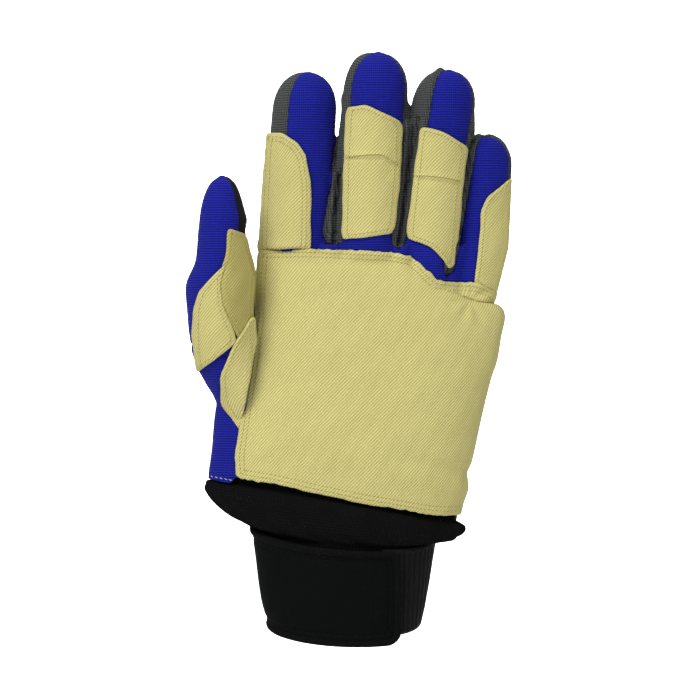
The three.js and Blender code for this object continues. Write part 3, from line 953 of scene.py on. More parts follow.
def weave_group(weave: Weave) -> bpy.types.ShaderNodeTree:
    """Makes the group that turns a cloth coordinate in millimetres into the height and shade of its weave.

    Args:
        weave: the kind of surface.

    Returns:
        The group's tree, with the outputs Height and Shade from 0 to 1; where Shade is low, in the weave's
        hollows, the colour goes to the painted groove shade.
    """
    made = NodeGroup(
        f"{weave.value} weave",
        [("Place", "NodeSocketVector", 0.0)],
        [("Height", "NodeSocketFloat"), ("Shade", "NodeSocketFloat")],
    )
    place = made.entry["Place"]
    across, along = made.axes(place)
    drift = made.sum("MULTIPLY", made.noise(place, 0.09), 3.2)
    fray = made.noise(place, 2.3, 3.0)
    wide, high = PITCHES.get(weave, (1.0, 1.0))
    if weave is Weave.TWILL:
        slant = made.sum("MULTIPLY", made.sum("SUBTRACT", across, along), math.sqrt(0.5))
        climb = made.sum("MULTIPLY", made.sum("ADD", across, along), math.sqrt(0.5))
        ridge = made.sum("POWER", made.wave(slant, wide, drift), 0.7)
        thread = made.wave(climb, high, made.sum("MULTIPLY", drift, 2.0))
        height = made.sum("MULTIPLY", ridge, made.sum("MULTIPLY_ADD", thread, 0.45, 0.55))
    elif weave is Weave.GRID_KNIT:
        rows = made.sum("POWER", made.wave(along, high, drift), 0.7)
        columns = made.wave(across, wide, drift)
        height = made.sum("MULTIPLY", rows, made.sum("MULTIPLY_ADD", columns, 0.55, 0.45))
    elif weave is Weave.BASKET:
        up = made.sum("ABSOLUTE", made.sum("SINE", made.sum("MULTIPLY_ADD", along, math.pi / high, drift)))
        across_phase = made.sum("MULTIPLY_ADD", across, math.pi / wide, drift)
        over = made.sum("ABSOLUTE", made.sum("SINE", across_phase))
        height = made.sum("POWER", made.sum("MULTIPLY", up, over), 0.7)
    elif weave is Weave.RIB_KNIT:
        columns = made.wave(across, wide, drift)
        rows = made.wave(along, high, drift)
        height = made.sum("MULTIPLY_ADD", rows, 0.4, made.sum("MULTIPLY", columns, 0.6))
    elif weave is Weave.THREAD:
        height = made.wave(made.sum("ADD", across, along), wide)
    else:
        height = made.noise(place, 3.4, 4.0)
    # Shade follows the weave's height, so the hollows take the painted groove shade, with a random fray
    # mottle on top
    shade = made.sum("MULTIPLY_ADD", fray, 0.28, made.sum("MULTIPLY", height, 0.86))
    made.link(height, made.exit["Height"])
    made.link(made.sum("MINIMUM", shade, 1.0), made.exit["Shade"])
    return made.tree


def soil_group() -> bpy.types.ShaderNodeTree:
    """Makes the group that gives uneven, lightly worn shades over the cloth.

    Returns:
        The group's tree, with the output Shade around 1.
    """
    made = NodeGroup(
        "uneven shade",
        [("Place", "NodeSocketVector", 0.0), ("Amount", "NodeSocketFloat", 0.1)],
        [("Shade", "NodeSocketFloat")],
    )
    broad = made.noise(made.entry["Place"], 0.035, 3.0)
    close = made.noise(made.entry["Place"], 0.4, 4.0)
    both = made.sum("SUBTRACT", made.sum("MULTIPLY_ADD", close, 0.5, broad), 0.75)
    made.link(made.sum("MULTIPLY_ADD", both, made.entry["Amount"], 1.0), made.exit["Shade"])
    return made.tree


class Wardrobe:
    """The materials, made once each from their finishes."""

    def __init__(self) -> None:
        """Makes every material."""
        self.soil = soil_group()
        self.weaves = {weave: weave_group(weave) for weave in Weave}
        self.made = {slot: self.material(finish) for slot, finish in FINISHES.items()}

    def material(self, finish: Finish) -> bpy.types.Material:
        """Makes one material: the cloth coordinate feeds a weave and a soil group, and both feed its colour.

        Args:
            finish: how it looks.

        Returns:
            The material.
        """
        made = bpy.data.materials.new(finish.name)
        made.use_nodes = True
        tree = made.node_tree
        shader = tree.nodes["Principled BSDF"]
        place = tree.nodes.new("ShaderNodeTexCoord")
        scale = tree.nodes.new("ShaderNodeVectorMath")
        scale.operation = "SCALE"
        scale.inputs["Scale"].default_value = 1000 / UV_PER_METRE
        tree.links.new(place.outputs["UV"], scale.inputs[0])
        weave = tree.nodes.new("ShaderNodeGroup")
        weave.node_tree = self.weaves[finish.weave]
        soil = tree.nodes.new("ShaderNodeGroup")
        soil.node_tree = self.soil
        soil.inputs["Amount"].default_value = finish.soil
        for node in (weave, soil):
            tree.links.new(scale.outputs[0], node.inputs["Place"])
        # The mix paints shade into the weave's hollows: the groove colour where the weave is low, the thread
        # colour on its tops
        mix = tree.nodes.new("ShaderNodeMix")
        mix.data_type = "RGBA"
        mix.inputs["A"].default_value = (*finish.groove, 1)
        mix.inputs["B"].default_value = (*finish.colour, 1)
        tree.links.new(weave.outputs["Shade"], mix.inputs["Factor"])
        tint = tree.nodes.new("ShaderNodeVectorMath")
        tint.operation = "SCALE"
        tree.links.new(mix.outputs["Result"], tint.inputs[0])
        tree.links.new(soil.outputs["Shade"], tint.inputs["Scale"])
        tree.links.new(tint.outputs[0], shader.inputs["Base Color"])
        bump = tree.nodes.new("ShaderNodeBump")
        bump.inputs["Strength"].default_value = BUMP_STRENGTH
        bump.inputs["Distance"].default_value = finish.relief
        tree.links.new(weave.outputs["Height"], bump.inputs["Height"])
        tree.links.new(bump.outputs["Normal"], shader.inputs["Normal"])
        shader.inputs["Roughness"].default_value = finish.roughness
        shader.inputs["Sheen Weight"].default_value = finish.sheen
        shader.inputs["Sheen Roughness"].default_value = SHEEN_ROUGHNESS
        shader.inputs["Specular IOR Level"].default_value = finish.specular
        return made


# The sewn pieces of the hand

# Corners as shares of the palm's breadth, from its middle, and of its length, from the hem
PALM_OUTLINES = {
    "palm_patch": [
        (-0.334, 0.99), (-0.138, 0.993), (0.177, 0.978), (0.259, 0.962), (0.306, 0.922), (0.354, 0.871),
        (0.401, 0.863), (0.519, 0.86), (0.65, 0.8), (0.8, 0.6), (0.8, -0.03), (0.373, -0.05), (0.055, 0.005),
        (-0.126, 0.043), (-0.275, 0.078), (-0.42, 0.1), (-0.427, 0.184), (-0.4, 0.364), (-0.37, 0.546),
        (-0.35, 0.706), (-0.346, 0.836),
    ],
    "under_leaf": [
        (-0.428, 0.632), (-0.357, 0.74), (-0.345, 0.546), (-0.375, 0.364), (-0.404, 0.278), (-0.475, 0.388),
        (-0.483, 0.498),
    ],
    "thumb_outer_patch": [
        (-0.46, 0.934), (-0.511, 0.879), (-0.562, 0.824), (-0.582, 0.754), (-0.586, 0.651), (-0.574, 0.51),
        (-0.511, 0.553), (-0.42, 0.632), (-0.475, 0.769), (-0.479, 0.864),
    ],
    "thumb_inner_patch": [
        (-0.452, 1.068), (-0.381, 1.045), (-0.33, 0.857), (-0.33, 0.75), (-0.41, 0.632), (-0.49, 0.769),
        (-0.495, 0.864), (-0.462, 0.96),
    ],
}
# Corners as shares of the finger's half width and of its length, from the web's height
FINGER_OUTLINES = {
    "index": [(-1.15, 0.652), (-0.56, 0.642), (-0.13, 0.588), (0.14, 0.515), (0.33, 0.348), (0.39, -0.045),
              (-1.15, -0.06)],
    "middle": [(-0.76, 0.713), (-0.27, 0.722), (0.76, 0.638), (0.78, 0.43), (0.71, 0.07), (-0.25, 0.044),
               (-0.7, 0.036), (-0.78, 0.458)],
    "ring": [(-0.64, 0.672), (0.07, 0.642), (0.83, 0.562), (0.78, 0.43), (0.8, -0.1), (0.6, -0.12),
             (0.43, -0.074), (0, 0), (-0.73, 0.047), (-0.68, 0.395)],
    "little": [(1.5, 0.64), (0.95, 0.617), (0.155, 0.44), (-0.03, 0.305), (-0.06, 0.067), (0.04, -0.18),
               (0.1, -0.42), (0.75, -0.5), (1.8, -0.7)],
}
# The tucks across two of the finger patches, in the same shares
TUCKS = {
    "middle": [(-0.9, 0.458), (0.29, 0.459), (0.9, 0.4)],
    "ring": [(-0.9, 0.4), (0.09, 0.378), (0.9, 0.36)],
}


FOURCHETTES = ("fourchette_index_middle", "fourchette_middle_ring", "fourchette_ring_little")
BASE_SLOTS = {"palm_trank": "blue_knit", "thumb_panel": "blue_knit", "thumb_back": "black_mesh"}
# Farther than any piece reaches, in metres
FAR = 1.0
# How far in front of the hand a ray starts that looks for its front
RAY_START = 0.2


def bell(distance: Array, width: float) -> Array:
    """Returns a soft bump that is 1 at no distance and dies away over a width."""
    return np.exp(-((distance / width) ** 2))


def unrolled(x: Array, y: Array, centre: Array, middle: Array, deep: Array) -> Array:
    """Unrolls the front and the sides of a rounded form.

    Args:
        x: the points' places across.
        y: their places from front to back.
        centre: the form's x at each point's height.
        middle: the form's y there.
        deep: the form's half depth there.

    Returns:
        The places across, with the sides' depth added.
    """
    turned = np.maximum(deep - np.abs(y - middle), 0)
    return x + np.tanh((x - centre) / (2 * MM)) * 0.8 * turned


def spot_on_front(tree: BVHTree, x: float, z: float, facing: float = -1.0) -> tuple[Vector, Vector] | None:
    """Finds the place on a piece's front at an x and a z.

    Args:
        tree: the piece.
        x: the place across.
        z: the height.
        facing: how squarely the piece has to face the front there, from -1 for anyhow to 1.

    Returns:
        The place and its normal, or none where the piece isn't there or turns away.
    """
    place, normal, _, _ = tree.ray_cast(Vector((x, -RAY_START, z)), Vector((0, 1, 0)))
    if place is None or normal.y >= -facing:
        return None
    return place, normal


@dataclass
class Shell:
    """The base cloth of the hand, parted along its seams."""

    form: HandForm
    wall: float = 1.4 * MM
    seam_gap: float = 0.12 * MM
    seam_dip: float = 0.55 * MM
    seam_width: float = 1.1 * MM
    # The rolled edges of the strips between the fingers, and the groove between them
    welt: float = 1.1 * MM
    welt_in: float = 1.5 * MM
    welt_width: float = 1.0 * MM
    gap: float = 3.0 * MM
    gap_width: float = 1.7 * MM
    gusset_low: tuple[float, float, float] = (1.015, 0.99, 0.87)
    gusset_point: float = 2.6 * MM
    gusset_rise: float = 7 * MM
    # How far the cloth is drawn in below the patches
    under: float = 1.1 * MM
    lean: float = 1.7 * MM
    leaf_dip: float = 0.3 * MM
    hidden_in: float = 1.2 * MM
    slack: float = 0.25 * MM
    slack_size: float = 17 * MM
    wrap_share: float = 0.325
    # Where the thumb's cloth ends round the thumb, and where its back part starts
    thumb_margin: float = 1.2 * MM
    thumb_front: float = 4 * MM
    thumb_slope: float = 0.35
    back_deep: float = 0.42
    back_side: float = 0.72
    hem_up: float = 3 * MM
    hem_step: tuple[float, float] = (-51 * MM, -48 * MM)
    heel: tuple[float, float] = (-60.5 * MM, -47 * MM)
    heel_up: float = 1.6 * MM
    heel_stitch: float = 2.1 * MM
    back_places: float = 0.3

    def __post_init__(self) -> None:
        """Makes the skin and works out how far each of its points is inside each piece of cloth."""
        form = self.form
        self.skin = form.surface()
        x, y, z = self.skin.points.T
        self.front = form.curl(z) - y
        gussets = self.gussets()
        gusset = np.max(gussets, axis=0)
        thumb, thumb_back = self.thumb()
        index = FINGERS["index"]
        wrap_z = form.web_z + self.wrap_share * index.length
        wrap = np.minimum(form.seam_at(index, z, False) - x, z - wrap_z)
        hem = form.above_hem(self.skin.points) - self.hem_up * between(*self.hem_step, x)
        self.parts = {
            "palm_trank": np.min([self.front, -gusset, -thumb, -wrap, hem], axis=0),
            "back_trank": np.min([np.maximum(-self.front, wrap), -gusset, -thumb], axis=0),
            "thumb_panel": np.minimum(thumb, -thumb_back),
            "thumb_back": np.minimum(thumb, thumb_back),
            **dict(zip(FOURCHETTES, gussets)),
        }

    def gussets(self) -> list[Array]:
        """Parts off the strips between the fingers.

        Returns:
            How far each point of the skin is inside each strip.
        """
        form = self.form
        x, _, z = self.skin.points.T
        found = []
        for (left, right), low in zip(pairwise(FINGERS.values()), self.gusset_low):
            inside = np.minimum(x - form.seam_at(left, z, True), form.seam_at(right, z, False) - x)
            rise = z - form.hem_z - low * form.palm_length
            narrow = self.gusset_point * (1 - np.clip(rise / self.gusset_rise, 0, 1)) ** 2
            found.append(np.minimum(inside - narrow, rise))
        return found

    def thumb(self) -> tuple[Array, Array]:
        """Parts off the thumb's cloth.

        Returns:
            How far each point of the skin is inside it, and how far it is inside the thumb's back.
        """
        form = self.form
        x, y, z = self.skin.points.T
        centre, middle, half, deep = form.thumb_at(z)
        round_x = (x - centre) / (half + self.thumb_margin)
        round_y = (y - middle) / (deep + self.thumb_margin + np.where(y < middle, self.thumb_front, 0))
        ellipse = (1 - np.hypot(round_x, round_y)) * half
        row = form.thumb_rows[2]
        root = form.hem_z + form.thumb_root_up * form.palm_length + row[0] * form.thumb_length
        plane = z - root + self.thumb_slope * (x - row[1] * form.palm_breadth)
        back = np.maximum(y - middle - self.back_deep * deep, x - centre - self.back_side * half)
        return np.minimum(ellipse, plane), back

    def weave_places(self, points: Array, follows_thumb: bool = True) -> Array:
        """Gives a cloth coordinate at each point that runs round the hand and up it.

        Args:
            points: the places.
            follows_thumb: whether the cloth runs round the thumb where that is near.

        Returns:
            The coordinates, in metres.
        """
        form = self.form
        x, y, z = points.T
        rows = np.array(form.palm_rows)
        up = (z - form.hem_z) / form.palm_length
        left, right, front = (curve_through(rows[:, 0], rows[:, k], up) for k in (1, 2, 3))
        palm = ((left + right) / 2 * form.palm_breadth, np.zeros(len(x)), front * form.palm_depth)
        nearest = palm
        reach = np.full(len(x), np.inf)
        for finger in FINGERS.values():
            level = np.clip(z, form.web_z, form.web_z + 0.7 * finger.length)
            centre, middle, half, deep = form.finger_at(finger, level)
            away = np.abs(x - centre) / half + np.where(z > form.web_z + finger.length, 9, 0)
            near = away < reach
            reach = np.where(near, away, reach)
            nearest = tuple(np.where(near, new, old) for new, old in zip((centre, middle, deep), nearest))
        share = between(form.web_z - 8 * MM, form.web_z + 8 * MM, z)
        centre, middle, half, deep = form.thumb_at(z)
        on_thumb = (np.hypot((x - centre) / half, (y - middle) / deep) < 1.12) & (up > 0.45) & follows_thumb
        across = unrolled(x, y, *palm) * (1 - share) + unrolled(x, y, *nearest) * share
        across = np.where(on_thumb, unrolled(x, y, centre, middle, deep), across)
        behind = y > np.where(on_thumb, middle, form.curl(z))
        return np.stack([np.where(behind, across + self.back_places, across), z], 1)

    def height(self, name: str, part: Surface, outlines: dict[str, Array]) -> Array:
        """Works out how far a piece's outer side lies off the smooth skin.

        Args:
            name: the piece.
            part: its surface.
            outlines: the patches' outlines.

        Returns:
            The height at each point, below zero where the cloth is drawn in.
        """
        x, y, z = part.points.T
        height = -self.seam_dip * bell(part.border, self.seam_width)
        if name in FOURCHETTES:
            number = FOURCHETTES.index(name)
            left, right = list(FINGERS.values())[number:number + 2]
            off_middle = 2 * x - self.form.seam_at(left, z, True) - self.form.seam_at(right, z, False)
            front = between(4 * MM, 1 * MM, y - self.form.curl(z))
            low = z < self.form.web_top(number) + 2 * MM
            height += self.welt * bell(part.border - self.welt_in, self.welt_width) * front
            height -= self.gap * bell(off_middle, self.gap_width) * front * low
        elif name == "palm_trank":
            height -= self.under * between(1 * MM, 4 * MM, outline_distance(x, z, outlines["palm_patch"]))
        elif name.startswith("thumb"):
            near = between(-7 * MM, -2 * MM, outline_distance(x, z, outlines["thumb_inner_patch"]))
            height -= (self.lean * between(-53 * MM, -40 * MM, x) + self.leaf_dip) * near
        slack = self.slack * wobble(x + y, z, self.slack_size)
        return height + slack * between(0, 4 * MM, part.border)

    def build(self, wardrobe: Wardrobe, outlines: dict[str, Array]) -> None:
        """Makes the base pieces: palm, back, gussets and thumb.

        Args:
            wardrobe: the materials.
            outlines: the patches' outlines.
        """
        x, _, z = self.skin.points.T
        hidden = outline_distance(x, z, outlines["palm_patch"]) - self.hidden_in
        hidden = np.where(self.front > -4 * MM, np.minimum(hidden, -20 * MM - x), -FAR)
        for name, keep in self.parts.items():
            part = self.skin.clipped(np.minimum(keep - self.seam_gap, -hidden))
            height = self.height(name, part, outlines)
            points, faces = part.thick(height, height - self.wall)
            places = np.tile(self.weave_places(part.points), (2, 1))
            slot = BASE_SLOTS.get(name, "grey_mesh")
            made = piece_object(f"{name}_cloth", points, faces, wardrobe.made[slot], places)
            dress(made, name)
            if name == "palm_trank":
                self.heel_line(points, faces, wardrobe)

    def heel_line(self, points: Array, faces: Array, wardrobe: Wardrobe) -> None:
        """Sews a line of cream stitches over the hem at the heel of the hand.

        Args:
            points: the palm cloth's places.
            faces: its triangles.
            wardrobe: the materials.
        """
        tree = BVHTree.FromPolygons(points.tolist(), faces.tolist())
        marks = []
        for x in np.arange(*self.heel, self.heel_stitch):
            found = spot_on_front(tree, x, self.form.hem_z - self.form.hem_tilt * x + self.heel_up)
            if found:
                marks.append((found[0], Vector((1, 0, -self.form.hem_tilt)), found[1]))
        sew("heel_stitches", marks, Thread(1.5 * MM, 0.3 * MM, "cream_thread"), wardrobe)


@dataclass
class Patches:
    """The twill patches on the palm, the fingers and the thumb, with their hems, tucks and stitches."""

    shell: Shell
    ply: float = 0.25 * MM
    wall: float = 1.15 * MM
    cloth: float = 1.3 * MM
    least: float = 0.4 * MM
    smoothing: int = 140
    # The border: how uneven its line is, how far it laps or stops short, and how far it wraps the thumb
    uneven: float = 0.35 * MM
    seam_gap: float = 0.05 * MM
    leaf_lap: float = 0.9 * MM
    inner_wrap: float = 0.75
    outer_wrap: float = 0.2
    # The hem and its stitches
    hem: float = 2.3 * MM
    hem_step: float = 0.8 * MM
    hem_rise: float = 0.4 * MM
    edge_drop: float = 0.55 * MM
    edge_width: float = 0.9 * MM
    stitch_in: float = 1.7 * MM
    row_apart: float = 1.9 * MM
    stitch_step: float = 1.75 * MM
    stitch_long: float = 1.1 * MM
    stitch_thick: float = 0.32 * MM
    stitch_dent: float = 0.3 * MM
    dent_width: float = 0.45 * MM
    # The palm patch's swell and slack
    puff: float = 2.0 * MM
    puff_reach: float = 22 * MM
    slack: float = 0.28 * MM
    # A dimple under the ring finger, with gathers that run out of it
    dimple: tuple[float, float] = (55 * MM, 151.5 * MM)
    dimple_deep: float = 1.9 * MM
    dimple_radius: float = 6.5 * MM
    dimple_flat: float = 1.25
    gather_count: int = 7
    gather_rise: float = 0.42 * MM
    gather_ring: float = 8 * MM
    gather_width: float = 5 * MM
    # A crease along the seam between the palm and the fingers' roots
    crease_z: float = 167.5 * MM
    crease_deep: float = 0.5 * MM
    crease_width: float = 1.5 * MM
    # A slack fold over the heel's right side, and the hollow over it
    fold: tuple[float, float] = (30 * MM, 74 * MM)
    fold_slope: float = 0.25
    fold_rise: float = 1.1 * MM
    fold_width: float = 4.5 * MM
    hollow_up: float = 8 * MM
    hollow_deep: float = 0.9 * MM
    hollow_width: float = 3 * MM
    # The tucks on the fingers: a fold with a groove below it
    tuck_slack: float = 0.3 * MM
    tuck_rise: float = 0.7 * MM
    tuck_deep: float = 0.6 * MM
    tuck_thread: float = 0.34 * MM
    tuck_long: float = 1.25 * MM
    tuck_in: float = 2.6 * MM
    tuck_step: float = 1.15 * MM
    tuck_drop: float = 0.5 * MM
    tuck_bow: float = 1.2 * MM
    tuck_half: float = 13 * MM

    def __post_init__(self) -> None:
        """Works out the outlines and how far each point of the skin is inside them."""
        x, _, z = self.shell.skin.points.T
        uneven_x = x + self.uneven * wobble(z, x, 21 * MM)
        uneven_z = z + self.uneven * wobble(x, z, 19 * MM)
        self.outlines = self.all_outlines()
        self.inside = {
            name: outline_distance(uneven_x, uneven_z, outline) for name, outline in self.outlines.items()
        }

    def all_outlines(self) -> dict[str, Array]:
        """Scales and places the tables of corners.

        Returns:
            Each patch's outline in x and z.
        """
        form = self.shell.form
        found = {}
        for name, rows in PALM_OUTLINES.items():
            across, up = np.array(rows).T
            found[name] = np.stack([across * form.palm_breadth, form.hem_z + up * form.palm_length], 1)
        for name, rows in FINGER_OUTLINES.items():
            found[f"{name}_patch"] = self.on_finger(FINGERS[name], rows)
        return {name: rounded(corners) for name, corners in found.items()}

    def on_finger(self, finger: Finger, rows: list[tuple[float, float]]) -> Array:
        """Turns shares of a finger into places.

        Args:
            finger: the finger.
            rows: shares of its half width and of its length.

        Returns:
            The places in x and z.
        """
        form = self.shell.form
        across, up = np.array(rows).T
        z = form.web_z + up * finger.length
        centre = form.finger_at(finger, np.maximum(z, form.web_z - form.root_depth))[0]
        return np.stack([centre + across * finger.width / 2, z], 1)

    def kept(self, name: str) -> Array:
        """Parts off a patch from the skin.

        Args:
            name: the patch.

        Returns:
            How far each point of the skin is inside it.
        """
        _, y, z = self.shell.skin.points.T
        side = self.shell.front
        if name.startswith("thumb"):
            _, middle, _, deep = self.shell.form.thumb_at(z)
            side = middle + (self.inner_wrap if "inner" in name else self.outer_wrap) * deep - y
        keep = np.minimum(self.inside[name], side)
        if name in ("index_patch", "little_patch", "under_leaf", "thumb_inner_patch"):
            lap = self.leaf_lap if name == "under_leaf" else -self.seam_gap
            keep = np.minimum(keep, lap - self.inside["palm_patch"])
        if name == "thumb_inner_patch":
            keep = np.minimum(keep, -self.inside["thumb_outer_patch"] - self.seam_gap)
        return keep

    def palm_relief(self, x: Array, z: Array, inner: Array) -> Array:
        """Works out the palm patch's puffs, dimple and folds.

        Args:
            x: the places across.
            z: the heights.
            inner: how far each place is from the patch's border.

        Returns:
            The height over the plain patch.
        """
        relief = self.puff * between(0, self.puff_reach, inner) * (0.8 + 0.2 * wobble(x, z, 46 * MM, 0.4))
        relief += self.slack * wobble(x, z, 13 * MM, 1.3) * between(2 * MM, 12 * MM, inner)
        across, up = x - self.dimple[0], z - self.dimple[1]
        away = np.hypot(across, up * self.dimple_flat)
        relief -= self.dimple_deep * bell(away, self.dimple_radius)
        gathers = np.sin(self.gather_count * np.arctan2(up, across) + 0.6)
        relief += self.gather_rise * gathers * bell(away - self.gather_ring, self.gather_width)
        crease = self.crease_deep * bell(z - self.crease_z, self.crease_width)
        relief -= crease * between(-40 * MM, -20 * MM, x)
        above = z - self.fold[1] + self.fold_slope * (x - self.fold[0])
        relief += self.fold_rise * bell(above, self.fold_width) * between(15 * MM, 36 * MM, x)
        hollow = self.hollow_deep * bell(above - self.hollow_up, self.hollow_width)
        return relief - hollow * between(18 * MM, 40 * MM, x)

    def small_relief(self, name: str, x: Array, z: Array, inner: Array) -> Array:
        """Works out the folds and the tuck of a patch on a finger or the thumb.

        Args:
            name: the patch.
            x: the places across.
            z: the heights.
            inner: how far each place is from the patch's border.

        Returns:
            The height over the plain patch.
        """
        seed = len(name)
        relief = self.tuck_slack * wobble(x, z, 15 * MM, seed) * between(1.5 * MM, 6 * MM, inner)
        if name == "thumb_inner_patch":
            relief -= self.shell.lean * between(-53 * MM, -40 * MM, x)
        finger = name.removesuffix("_patch")
        if finger in TUCKS:
            line = self.on_finger(FINGERS[finger], TUCKS[finger])
            above = z - np.interp(x, line[:, 0], line[:, 1])
            within = between(0.2 * MM, 3 * MM, inner)
            relief += self.tuck_rise * within * bell(above - 0.8 * MM, 1.1 * MM)
            relief -= self.tuck_deep * within * bell(above + 0.9 * MM, 0.6 * MM)
        return relief

    def evened(self, part: Surface) -> Surface:
        """Draws the palm patch's front towards one smooth bowed face, so that it spans the hollows under it.

        Args:
            part: the patch's surface.

        Returns:
            The same surface with moved points.
        """
        x, y, z = part.points.T
        across = (x - x.mean()) / np.ptp(x)
        up = (z - z.mean()) / np.ptp(z)
        terms = np.stack([across**i * up**j for i in range(5) for j in range(4)], 1)
        facing = between(0.45, 0.8, -part.normals[:, 1])
        weight = facing * between(0.5 * MM, 6 * MM, part.border) * between(-34 * MM, -18 * MM, x)
        beside_thumb = between(-10 * MM, -26 * MM, x)
        fitted = terms @ np.linalg.lstsq(terms * weight[:, None], y * weight, rcond=None)[0]
        points = part.points.copy()
        points[:, 1] += 0.85 * weight * np.clip(fitted - y, -3 * MM, 3 * MM)
        points[:, 1] += beside_thumb * np.maximum(self.shell.form.palm_front(x, z) - points[:, 1], 0)
        even = relaxed(points, part.faces, 30)
        points += (beside_thumb * between(0.4 * MM, 2.5 * MM, part.border))[:, None] * (even - points)
        return Surface(points, part.faces, vertex_normals(points, part.faces), part.border)

    def build(self, wardrobe: Wardrobe) -> None:
        """Makes every patch with the stitches on it.

        Args:
            wardrobe: the materials.
        """
        skin = self.shell.skin
        smooth = relaxed(skin.points, skin.faces, self.smoothing)
        soft = Surface(smooth, skin.faces, vertex_normals(smooth, skin.faces))
        for name in self.outlines:
            if name == "palm_patch":
                self.lay(name, self.evened(soft.clipped(self.kept(name))), wardrobe)
            else:
                self.lay(name, skin.clipped(self.kept(name)), wardrobe)

    def lay(self, name: str, part: Surface, wardrobe: Wardrobe) -> None:
        """Makes one patch, then the stitches and the tuck on it.

        Args:
            name: the patch.
            part: its surface.
            wardrobe: the materials.
        """
        x, _, z = part.points.T
        inner = part.border
        is_palm = name == "palm_patch"
        relief = self.hem_rise * (1 - between(self.hem, self.hem + self.hem_step, inner))
        relief -= self.edge_drop * (1 - between(0, self.edge_width, inner))
        relief -= self.stitch_dent * bell(inner - self.stitch_in, self.dent_width)
        relief += self.palm_relief(x, z, inner) if is_palm else self.small_relief(name, x, z, inner)
        outer = self.ply + self.wall + relief
        lower = np.maximum(np.minimum(self.ply, outer - self.least), outer - self.cloth)
        points, faces = part.thick(outer, lower)
        places = np.tile(self.shell.weave_places(part.points, not is_palm), (2, 1))
        # The inner thumb patch gets the darker twill, whose colour holds painted shade as well as soil
        finish = wardrobe.made["shaded_twill" if name == "thumb_inner_patch" else "twill"]
        made = piece_object(f"{name}_cloth", points, faces, finish, places)
        dress(made, name)
        tree = BVHTree.FromPolygons(points.tolist(), faces.tolist())
        self.stitch(name, tree, wardrobe)
        finger = name.removesuffix("_patch")
        if finger in TUCKS:
            self.tuck_line(finger, tree, wardrobe)

    def tuck_line(self, finger: str, tree: BVHTree, wardrobe: Wardrobe) -> None:
        """Sews a close line along a finger patch's tuck.

        Args:
            finger: the finger.
            tree: its patch.
            wardrobe: the materials.
        """
        line = self.on_finger(FINGERS[finger], TUCKS[finger])
        marks = []
        for x in np.arange(line[0, 0] + self.tuck_in, line[-1, 0] - self.tuck_in, self.tuck_step):
            bow = self.tuck_bow * (1 - ((x - line[:, 0].mean()) / self.tuck_half) ** 2)
            level = float(np.interp(x, line[:, 0], line[:, 1])) - self.tuck_drop
            found = spot_on_front(tree, x, level + bow, 0.3)
            if found:
                marks.append((found[0], Vector((1, 0, 0)), found[1]))
        thread = Thread(self.tuck_long, self.tuck_thread, "pale_thread")
        sew(f"{finger}_tuck_line", marks, thread, wardrobe)

    def stitch(self, name: str, tree: BVHTree, wardrobe: Wardrobe) -> None:
        """Sews rows of stitches along a patch's hem.

        Args:
            name: the patch.
            tree: its mesh.
            wardrobe: the materials.
        """
        outline = self.outlines[name]
        rows = [self.stitch_in]
        if name in ("palm_patch", "index_patch"):
            rows.append(self.stitch_in + self.row_apart)
        marks = []
        for inset in rows:
            for place, after in steps(outline, self.stitch_step):
                along = (after - place) / max(np.linalg.norm(after - place), 1e-9)
                inward = np.array([-along[1], along[0]])
                spot = (place + after) / 2 + inward * inset
                if outline_distance(spot[:1], spot[1:], outline)[0] < 0:
                    spot = (place + after) / 2 - inward * inset
                found = spot_on_front(tree, spot[0], spot[1], 0.35)
                if found:
                    marks.append((found[0], Vector((along[0], 0, along[1])), found[1]))
        thread = Thread(self.stitch_long, self.stitch_thick, "pale_thread")
        sew(f"{name}_stitches", marks, thread, wardrobe)


def steps(outline: Array, step: float) -> list[tuple[Array, Array]]:
    """Walks round a closed outline in even steps.

    Args:
        outline: its corners.
        step: the length of a step.

    Returns:
        The start and end of each step.
    """
    ring = np.vstack([outline, outline[:1]])
    length = np.concatenate([[0], np.cumsum(np.linalg.norm(np.diff(ring, axis=0), axis=1))])
    at = np.linspace(0, length[-1], max(int(length[-1] / step), 3))
    walk = np.stack([np.interp(at, length, ring[:, 0]), np.interp(at, length, ring[:, 1])], 1)
    return list(pairwise(walk))


@dataclass(frozen=True)
class Thread:
    """What a row of stitches is made of.

    Attributes:
        long: a stitch's length.
        thick: its thickness.
        finish: the thread's finish.
        sides: how many sides a stitch has.
        bite: how far it stands out, as a share of its thickness.
        spans: its rings' places along it, as shares of its length.
        widths: the rings' widths, as shares of its thickness.
    """

    long: float
    thick: float
    finish: str
    sides: int = 6
    bite: float = 0.18
    spans: tuple[float, ...] = (-0.5, -0.42, -0.15, 0.15, 0.42, 0.5)
    widths: tuple[float, ...] = (0.2, 0.75, 1.0, 1.0, 0.75, 0.2)


def sew(name: str, marks: list[Mark], thread: Thread, wardrobe: Wardrobe) -> None:
    """Makes short rounded stitches and joins them into one piece.

    Args:
        name: the piece's name.
        marks: where each stitch is, which way it runs and which way is out.
        thread: what they are made of.
        wardrobe: the materials.
    """
    if not marks:
        return
    angle = np.linspace(0, 2 * math.pi, thread.sides, endpoint=False)
    forms = []
    for spot, along, out in marks:
        out = np.array(out.normalized())
        way = np.array(along) - out * np.dot(np.array(along), out)
        way /= max(np.linalg.norm(way), 1e-9)
        side = np.cross(out, way)
        rings = []
        for span, width in zip(thread.spans, thread.widths):
            centre = np.array(spot) + way * span * thread.long + out * thread.thick * thread.bite
            radius = thread.thick / 2 * width
            rings.append(centre + radius * (np.cos(angle)[:, None] * side + np.sin(angle)[:, None] * out))
        forms.append(capped(np.array(rings)[:, ::-1]))
    points, faces = joined(forms)
    made = piece_object(name, points, faces, wardrobe.made[thread.finish])
    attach(made, BODY)
    LOG.info("%s has %d stitches", name, len(marks))


# The wrist


